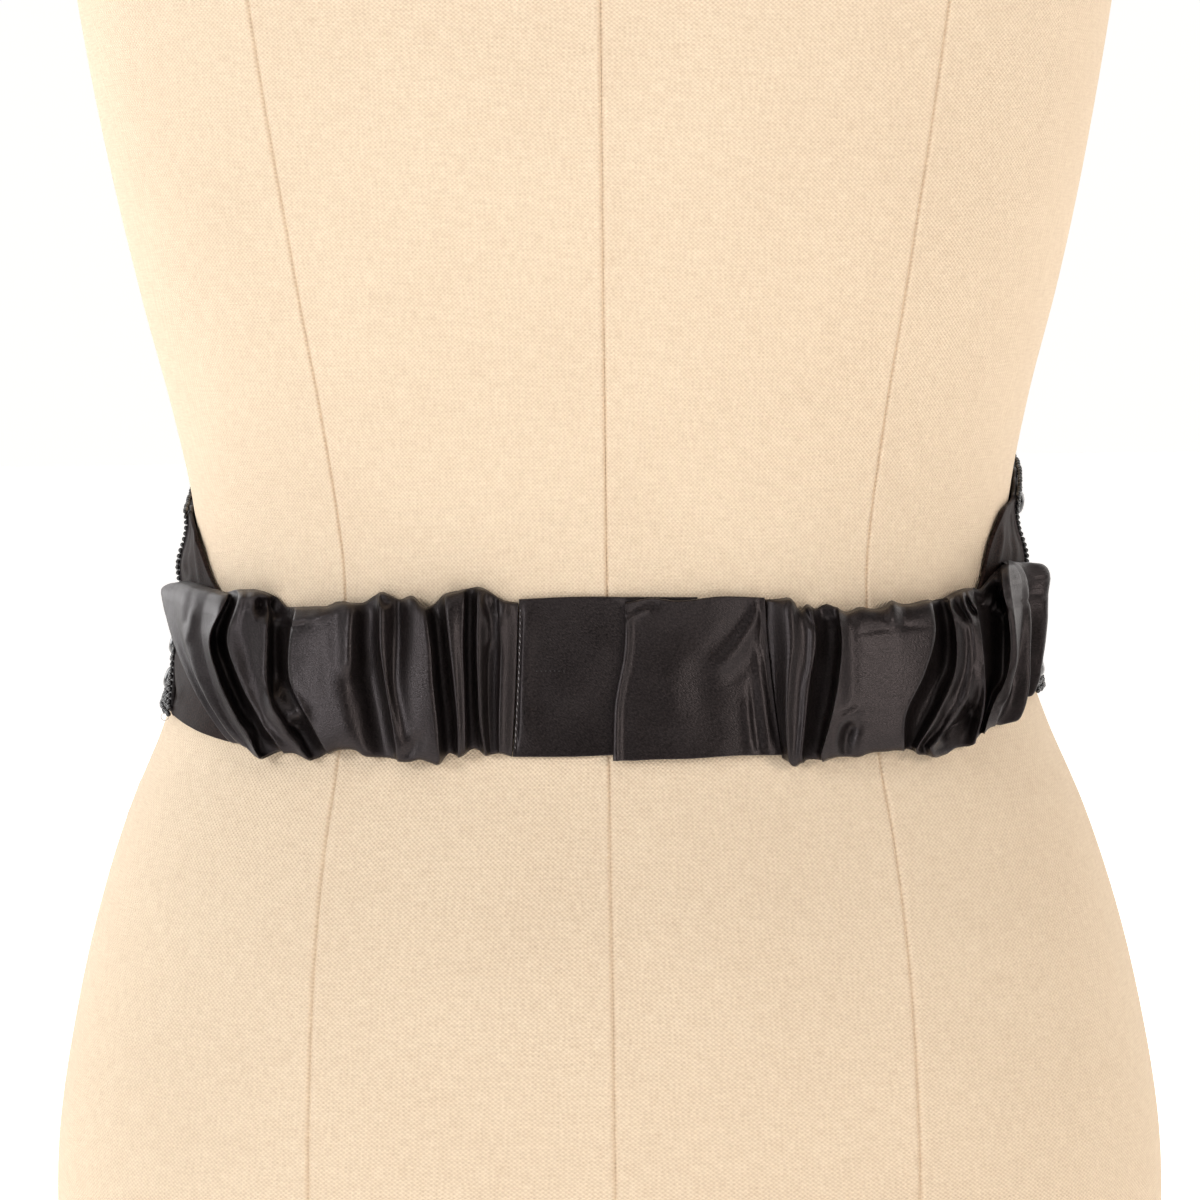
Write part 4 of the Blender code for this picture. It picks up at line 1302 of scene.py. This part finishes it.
class CUMMERBUND_OT_casings(bpy.types.Operator):
    """Make the two casings of satin gathered over elastic"""
    bl_idname = "cummerbund.casings"
    bl_label = "Gathered casings"

    def execute(self, context):
        satin = satin_finish(context, "satin_gathered")
        left = casing("gathers_left", LEFT_FOLDS, LEFT_CREASES, LEFT_EDGES, TAB_START_LEFT,
                      BEAD_LINE_LEFT, satin, SEED + 10)
        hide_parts("casing_left")
        right = casing("gathers_right", RIGHT_FOLDS, RIGHT_CREASES, RIGHT_EDGES, TAB_START_RIGHT,
                       BEAD_LINE_RIGHT, satin, SEED + 20)
        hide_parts("casing_right")
        return {"FINISHED"}


# --------------------------------------------------------------------------- the closure and the tabs

# How many rows a sheet's rim is rounded over, and how much of its wall that takes off each face
RIM_STEPS = 3.0
RIM_OUTER = 0.42
RIM_INNER = 0.25
DEEPEST_TROUGH = 0.55
ROW_THREAD = (0.035, 0.031, 0.033)


def rounded(crowding, count):
    """Shares from 0 to 1, closer together near both ends."""
    step = np.linspace(0, 1, count)
    return step - crowding * np.sin(math.tau * step) / math.tau


def rim_fall(*counts):
    """How far the rows and columns next to a sheet's rims are rounded off, from 1 at the rim to 0."""
    steps = [np.minimum(np.arange(count), np.arange(count)[::-1]) for count in counts]
    nearest = np.minimum.reduce(np.meshgrid(*steps, indexing="ij"))
    return np.clip(1 - nearest / RIM_STEPS, 0, 1) ** 2


def flat_cloth(name, start, end, edges, rear, creases, columns, rows, shade, seed, lift=None):
    """A flat double piece of satin between two seams, with soft creases and rounded edges."""
    arc, height = flat_grid(start, end, edges, rounded(0.85, columns), rounded(0.85, rows))
    ripples = 0.12 * ripple(arc, height, 7.0, 9.0, seed) + 0.04 * ripple(arc, height, 2.5, 3.5, seed + 1)
    fall = rim_fall(columns, rows)
    raised = np.maximum(relief(creases, arc, height) + ripples, -DEEPEST_TROUGH)
    if lift is not None:
        raised = raised + lift(arc, height)
    base = rear(arc, height)
    outer = on_form(arc, height, base + SATIN * (1 - RIM_OUTER * fall) + raised)
    inner = on_form(arc, height, base + np.maximum(raised, 0) * 0.75 + RIM_INNER * SATIN * fall)
    return sheet_piece(name, outer, inner, np.stack([arc, height], axis=-1), shade, "satin")


def stitch_row(name, places, lengths, width, shade):
    """A row of small stitches along places given as (arc, height, offset, slope)."""
    arc, height, offset, slope = np.array(places).T
    axes = cloth_axes(arc, height)[1]
    turn = np.stack([np.cos(slope), np.sin(slope)], axis=-1)
    along = axes[:, 0] * turn[:, :1] + axes[:, 1] * turn[:, 1:]
    axes = np.stack([np.cross(axes[:, 2], along), along, axes[:, 2]], axis=1)
    thick = np.full_like(arc, width / 2)
    sizes = np.stack([thick, np.asarray(lengths) / 2, thick], axis=-1) * MM
    return copies(name, ball_template(6, 6), on_form(arc, height, offset), axes, sizes, shade, "thread")


class CUMMERBUND_OT_closure(bpy.types.Operator):
    """Make the overlapping closure at the centre back with its stitching"""
    bl_idname = "cummerbund.closure"
    bl_label = "Closure"

    def execute(self, context):
        satin = satin_finish(context, "satin_closure", 0.95)
        under = flat_cloth("closure_lower", upright(SEAM_LEFT - 0.25), upright(UNDERLAP_END), UNDERLAP_EDGES,
                           self.under_rear, UNDERLAP_CREASES, 90, 70, satin, SEED + 30)
        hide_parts("closure_underlap")
        over = flat_cloth("closure_upper", OVERLAP_EDGE, upright(SEAM_RIGHT + 0.25), OVERLAP_EDGES,
                          self.over_rear, OVERLAP_CREASES, 100, 74, satin, SEED + 31, self.rolled_edge)
        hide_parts("closure_overlap")
        # The seam thread's light grey is painted glint on the stitches
        bright = thread_finish("seam_thread_painted_glint", context.scene.cummerbund_beads.thread, 0.35)
        dull = thread_finish("row_thread", ROW_THREAD, 0.5)
        seam, row = self.seam_row(bright), self.level_row(dull)
        return {"FINISHED"}

    def under_rear(self, arc, height):
        """The underlap lies on the form."""
        return np.full_like(arc, EASE)

    def over_rear(self, arc, height):
        """The overlap lies on the underlap and then settles on the form."""
        return EASE + SATIN + SEAM_GAP - 0.7 * np.clip((arc - 30.0) / 12.0, 0, 1)

    def rolled_edge(self, arc, height):
        """The soft roll along the overlap's free edge, which dies out at its upper corner."""
        away = arc - smooth(OVERLAP_EDGE, height, 1)
        fade = np.clip((257.0 - height) / 4.0, 0, 1)
        return fade * (0.75 * bump_of((away - 0.9) / 1.0) - 0.25 * bump_of((away - 3.4) / 1.6))

    def seam_row(self, shade):
        """Stitches in the seam between the left casing and the underlap; their light grey thread is painted
        glint.
        """
        rng = np.random.default_rng(SEED + 40)
        offset, slope = EASE + SATIN + 0.25, math.pi / 2 + 0.18
        places = [(SEAM_LEFT + 0.28 + rng.uniform(-0.08, 0.08), height, offset, slope)
                  for height in np.arange(219.0, 258.5, 1.75)]
        return stitch_row("seam_stitches", places, rng.uniform(0.6, 1.15, len(places)), 0.26, shade)

    def level_row(self, shade):
        """The faint, nearly level row that holds the fastener behind the underlap."""
        places = [(arc, 240.4 - 0.012 * (arc + 21), EASE + SATIN + 0.12, 0.0)
                  for arc in np.arange(-21.0, -1.5, 1.25)]
        return stitch_row("row_stitches", places, np.full(len(places), 0.6), 0.2, shade)


class CUMMERBUND_OT_tabs(bpy.types.Operator):
    """Make the plain satin tabs between the casings and the beads"""
    bl_idname = "cummerbund.tabs"
    bl_label = "Side tabs"

    def execute(self, context):
        # Painted sheen: the tabs' satin is a lighter, warmer copy of the black satin, standing in for the
        # warm sheen that grazing light puts on them; its added roughness and lower gloss are the cloth's own
        satin = satin_finish(context, "satin_tab_painted_sheen", 1.3, (1.35, 1.0, 0.82), 0.2, 0.25)
        line = BEAD_LINE_RIGHT
        right = flat_cloth("tab_right", TAB_START_RIGHT, shifted(line, -SEAM_GAP), FRONT_EDGES,
                           self.rear(line), TAB_CREASES, 90, 76, satin, SEED + 50)
        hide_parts("side_tab_right")
        line = shifted(BEAD_LINE_LEFT, GIRTH)
        mirrored = [Crease(GIRTH - c.arc - 10, c.height, GIRTH - c.end_arc - 10, c.end_height, -c.bow,
                           c.reach, c.rise) for c in TAB_CREASES]
        left = flat_cloth("tab_left", shifted(line, SEAM_GAP), shifted(TAB_START_LEFT, GIRTH), FRONT_EDGES,
                          self.rear(line), mirrored, 96, 76, satin, SEED + 60)
        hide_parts("side_tab_left")
        return {"FINISHED"}

    def rear(self, line):
        """A function of arc and height that gives a tab's inner offset beside its bead line."""
        return lambda arc, height: EASE + stand_off(arc, height, smooth(line, height, 1))


# --------------------------------------------------------------------------- the beaded front

SCALLOP_PITCH = 7.9
# The size of a stone in its place, and the rows of (radius, rise) of its dome over a narrow girdle
STONE_SET = 0.86
STONE_PROFILE = ((1.0, -0.10), (1.0, 0.12), (0.97, 0.30), (0.88, 0.58), (0.72, 0.80), (0.50, 0.93),
                 (0.26, 0.985))
# How high the middles of the beads stand over the panel's wall
BEZEL_RISE = 0.35
TRELLIS_RISE = 0.4
EDGING_RISE = 0.25
GROUND_RISE = 0.15


class CUMMERBUND_OT_front(bpy.types.Operator):
    """Make the beaded front: its cloth, oval stones and strings of small beads"""
    bl_idname = "cummerbund.front"
    bl_label = "Beaded front"

    def execute(self, context):
        looks = context.scene.cummerbund_beads
        self.pitch, self.radius = looks.pitch / MM, looks.radius / MM
        self.right, self.left = BEAD_LINE_RIGHT, shifted(BEAD_LINE_LEFT, GIRTH)
        self.panel(context)
        ball = ball_template(8, 6)
        bead = glass_finish(context, "jet_beads", looks.colour, 0.12)
        stone_glass = glass_finish(context, "jet_stones", looks.stone, 0.05, 90.0)
        stones = self.stone_places()
        self.stones(stones, stone_glass)
        self.string("beads_round_stones", self.bezels(stones), ball, bead)
        self.string("beads_trellis", self.trellis(stones), ball, bead)
        self.string("beads_edging", self.edging(), ball, bead)
        self.string("beads_ground", self.ground(stones), ball_template(6, 4), bead, 0.86)
        return {"FINISHED"}

    def places(self, run, share):
        """Arcs, heights and offsets on the panel at shares along and across it."""
        arc, height = flat_grid(self.right, self.left, FRONT_EDGES, run, share)
        return arc, height, self.offset(arc, height)

    def offset(self, arc, height):
        """The offset of the panel's inner face."""
        return EASE + stand_off(arc, height, smooth(self.right, height, 1)) \
            + stand_off(arc, height, smooth(self.left, height, 1))

    def panel(self, context):
        """The panel's cloth, a little quilted by its beading, with scalloped edges."""
        cloth = satin_finish(context, "beaded_cloth", 0.8)
        columns, rows = 281, 61
        arc, height, offset = self.places(rounded(0.0, columns), rounded(0.6, rows))
        share = np.linspace(-1, 1, rows)
        wave = np.cos(math.pi * arc / SCALLOP_PITCH)
        height = height + 0.9 * (np.abs(wave) - 0.6) * np.sign(share) * np.abs(share) ** 8
        quilt = 0.22 * wave * np.cos(math.pi * (height - 210) / 8.0)
        fall = rim_fall(rows)
        outer = on_form(arc, height, offset + BEADED_WALL * (1 - 0.4 * fall) - 0.2 + quilt)
        inner = on_form(arc, height, offset + RIM_INNER * BEADED_WALL * fall)
        front = sheet_piece("front_cloth", outer, inner, np.stack([arc, height], axis=-1), cloth, "beading")
        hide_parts("beaded_front")

    def stone_places(self):
        """Arc, height, offset and half sizes of every large stone."""
        columns, rows = 2 * STONE_COLUMNS + 1, 2 * STONE_ROWS + 1
        arc, height, offset = self.places(np.linspace(0, 1, columns), np.linspace(0, 1, rows))
        found = []
        for row in range(STONE_ROWS):
            j = 2 * row + 1
            for i in range(1 + 2 * (row % 2), columns - 1, 4):
                half_arc = (arc[i + 1, j] - arc[i - 1, j]) / 2 * STONE_SHARE
                half_height = min((height[i, j + 1] - height[i, j - 1]) / 2 * STONE_SHARE,
                                  half_arc * STONE_LENGTH)
                found.append((arc[i, j], height[i, j], offset[i, j] + BEADED_WALL,
                              half_arc, half_height, i, j))
        return np.array(found)

    def stones(self, stones, shade):
        """Domed oval stones, each with a narrow girdle."""
        arc, height, offset, half_arc, half_height = stones.T[:5]
        rise = np.full_like(arc, STONE_RISE)
        sizes = np.stack([half_arc * STONE_SET, half_height * STONE_SET, rise], axis=-1) * MM
        copies("front_stones", turned(STONE_PROFILE, 28, -0.10, 1.0), on_form(arc, height, offset - 0.25),
               cloth_axes(arc, height)[1], sizes, shade, "stones")

    def bezels(self, stones):
        """A ring of beads round every stone."""
        found = []
        for arc, height, offset, half_arc, half_height, _, _ in stones:
            wide = half_arc * STONE_SET + self.radius * 1.02
            tall = half_height * STONE_SET + self.radius * 1.02
            count = int(math.tau * math.hypot(wide, tall) / math.sqrt(2) / self.pitch)
            for k in range(count):
                turn = math.tau * k / count
                found.append((arc + wide * math.cos(turn), height + tall * math.sin(turn),
                              offset + BEZEL_RISE))
        return np.array(found)

    def trellis(self, stones):
        """Slanting strings between neighbouring stones."""
        lookup = {(int(s[5]), int(s[6])): s for s in stones}
        found = []
        for (i, j), here in lookup.items():
            for side in (-2, 2):
                there = lookup.get((i + side, j + 2))
                if there is None:
                    continue
                length = math.hypot(there[0] - here[0], there[1] - here[1])
                for k in range(int(length / self.pitch) + 1):
                    t = k * self.pitch / length
                    arc, height = here[0] + (there[0] - here[0]) * t, here[1] + (there[1] - here[1]) * t
                    if self.clearance(arc, height, (here, there)) > 1.0:
                        found.append((arc, height, here[2] + (there[2] - here[2]) * t + TRELLIS_RISE))
        return np.array(found)

    def clearance(self, arc, height, stones):
        """How far a place lies outside the nearest stone's bezel, as a ratio of its radius."""
        margin = self.radius * 3.0
        return min(math.hypot((arc - s[0]) / (s[3] * STONE_SET + margin),
                              (height - s[1]) / (s[4] * STONE_SET + margin)) for s in stones)

    def edging(self):
        """Strings along the four edges of the panel."""
        found = []
        length = GIRTH + BEAD_LINE_LEFT[2].arc - BEAD_LINE_RIGHT[2].arc
        for share in (0.0, 1.0):
            for inset in (0.3, 2.1):
                run = np.linspace(0.004, 0.996, int(length / self.pitch))
                arc, height, offset = self.places(run, [share])
                sign = 1 - 2 * share
                height = height + sign * (inset - 0.55 * np.abs(np.cos(math.pi * arc / SCALLOP_PITCH)))
                found.append(np.stack([arc, height, offset + BEADED_WALL + EDGING_RISE], -1).reshape(-1, 3))
        for run in (0.0022, 0.9978):
            share = np.linspace(0.0, 1.0, int(62 / self.pitch))
            arc, height, offset = self.places([run], share)
            found.append(np.stack([arc, height, offset + BEADED_WALL + EDGING_RISE], -1).reshape(-1, 3))
        return np.concatenate(found)

    def ground(self, stones):
        """Scattered beads that fill the ground between the strings."""
        rng = np.random.default_rng(SEED + 70)
        columns, rows = 150, 33
        arc, height, offset = self.places(np.linspace(0.012, 0.988, columns), np.linspace(0.045, 0.955, rows))
        arc = arc + rng.uniform(-0.5, 0.5, arc.shape) + (np.arange(rows) % 2) * 1.25
        height = height + rng.uniform(-0.5, 0.5, arc.shape)
        found = []
        for place in np.stack([arc, height, offset + BEADED_WALL + GROUND_RISE], -1).reshape(-1, 3):
            near = stones[np.argsort(np.hypot(stones[:, 0] - place[0], stones[:, 1] - place[1]))[:3]]
            if self.clearance(place[0], place[1], near) > 1.0:
                found.append(place)
        return np.array(found)

    def string(self, name, places, template, shade, size=1.0):
        """Beads at places given as arc, height and offset."""
        rng = np.random.default_rng(SEED + len(places))
        arc, height, offset = places.T
        centres = on_form(arc, height, offset)
        axes = cloth_axes(arc, height)[1]
        sizes = rng.uniform(0.92, 1.04, (len(places), 3)) * self.radius * size * MM
        copies(name, template, centres, axes, sizes, shade, "beading")


class CUMMERBUND_OT_loop(bpy.types.Operator):
    """Make the small loop of clear thread under the left bead line"""
    bl_idname = "cummerbund.loop"
    bl_label = "Thread loop"

    def execute(self, context):
        radius, wire, around, section = 1.15, 0.11, 40, 8
        view, up = np.array([0.0, -1.0, 0.0]), np.array([0.0, 0.0, 1.0])
        side = np.cross(up, view)
        turn = np.linspace(0, math.tau, around, endpoint=False)[:, None]
        spin = np.linspace(0, math.tau, section, endpoint=False)[None, :]
        out = radius + wire * np.cos(spin)
        flat = (out * np.cos(turn))[..., None] * side + (out * np.sin(turn) * 0.95)[..., None] * up
        ring = flat + (wire * np.sin(spin) + 0.15 * np.sin(turn))[..., None] * view
        points = on_form(-146.0, 221.4, 3.4) + ring * MM
        quads = grid_quads(around, section, True, True)[0]
        new_piece("thread_loop", points.reshape(-1, 3), quads.tolist(), None, clear_finish("clear_thread"),
                  "thread")
        return {"FINISHED"}


# --------------------------------------------------------------------------- the panel and the run

STEPS = (CUMMERBUND_OT_stage, CUMMERBUND_OT_form, CUMMERBUND_OT_closure, CUMMERBUND_OT_casings,
         CUMMERBUND_OT_tabs, CUMMERBUND_OT_front, CUMMERBUND_OT_loop)
GROUPS = {"cummerbund_satin": CUMMERBUND_PG_satin, "cummerbund_linen": CUMMERBUND_PG_linen,
          "cummerbund_beads": CUMMERBUND_PG_beads, "cummerbund_stage": CUMMERBUND_PG_stage}


class CUMMERBUND_PT_sidebar(bpy.types.Panel):
    """The settings and steps of the cummerbund"""
    bl_label = "Cummerbund"
    bl_idname = "CUMMERBUND_PT_sidebar"
    bl_space_type = "VIEW_3D"
    bl_region_type = "UI"
    bl_category = "Cummerbund"

    def draw(self, context):
        for name, group in GROUPS.items():
            box = self.layout.box()
            box.label(text=group.__doc__)
            for field in group.__annotations__:
                box.prop(getattr(context.scene, name), field)
        for step in STEPS:
            self.layout.operator(step.bl_idname)


def register():
    """Registers the classes and hangs the settings on the scene."""
    for kind in (*GROUPS.values(), *STEPS, CUMMERBUND_PT_sidebar):
        bpy.utils.register_class(kind)
    for name, group in GROUPS.items():
        setattr(bpy.types.Scene, name, bpy.props.PointerProperty(type=group))


def unregister():
    """Takes the settings off the scene and unregisters the classes."""
    for name in GROUPS:
        delattr(bpy.types.Scene, name)
    for kind in reversed((*GROUPS.values(), *STEPS, CUMMERBUND_PT_sidebar)):
        bpy.utils.unregister_class(kind)


def main():
    """Registers the settings and steps, then makes every piece in order."""
    register()
    for step in STEPS:
        group, name = step.bl_idname.split(".")
        getattr(getattr(bpy.ops, group), name)()


if __name__ == "__main__":
    main()
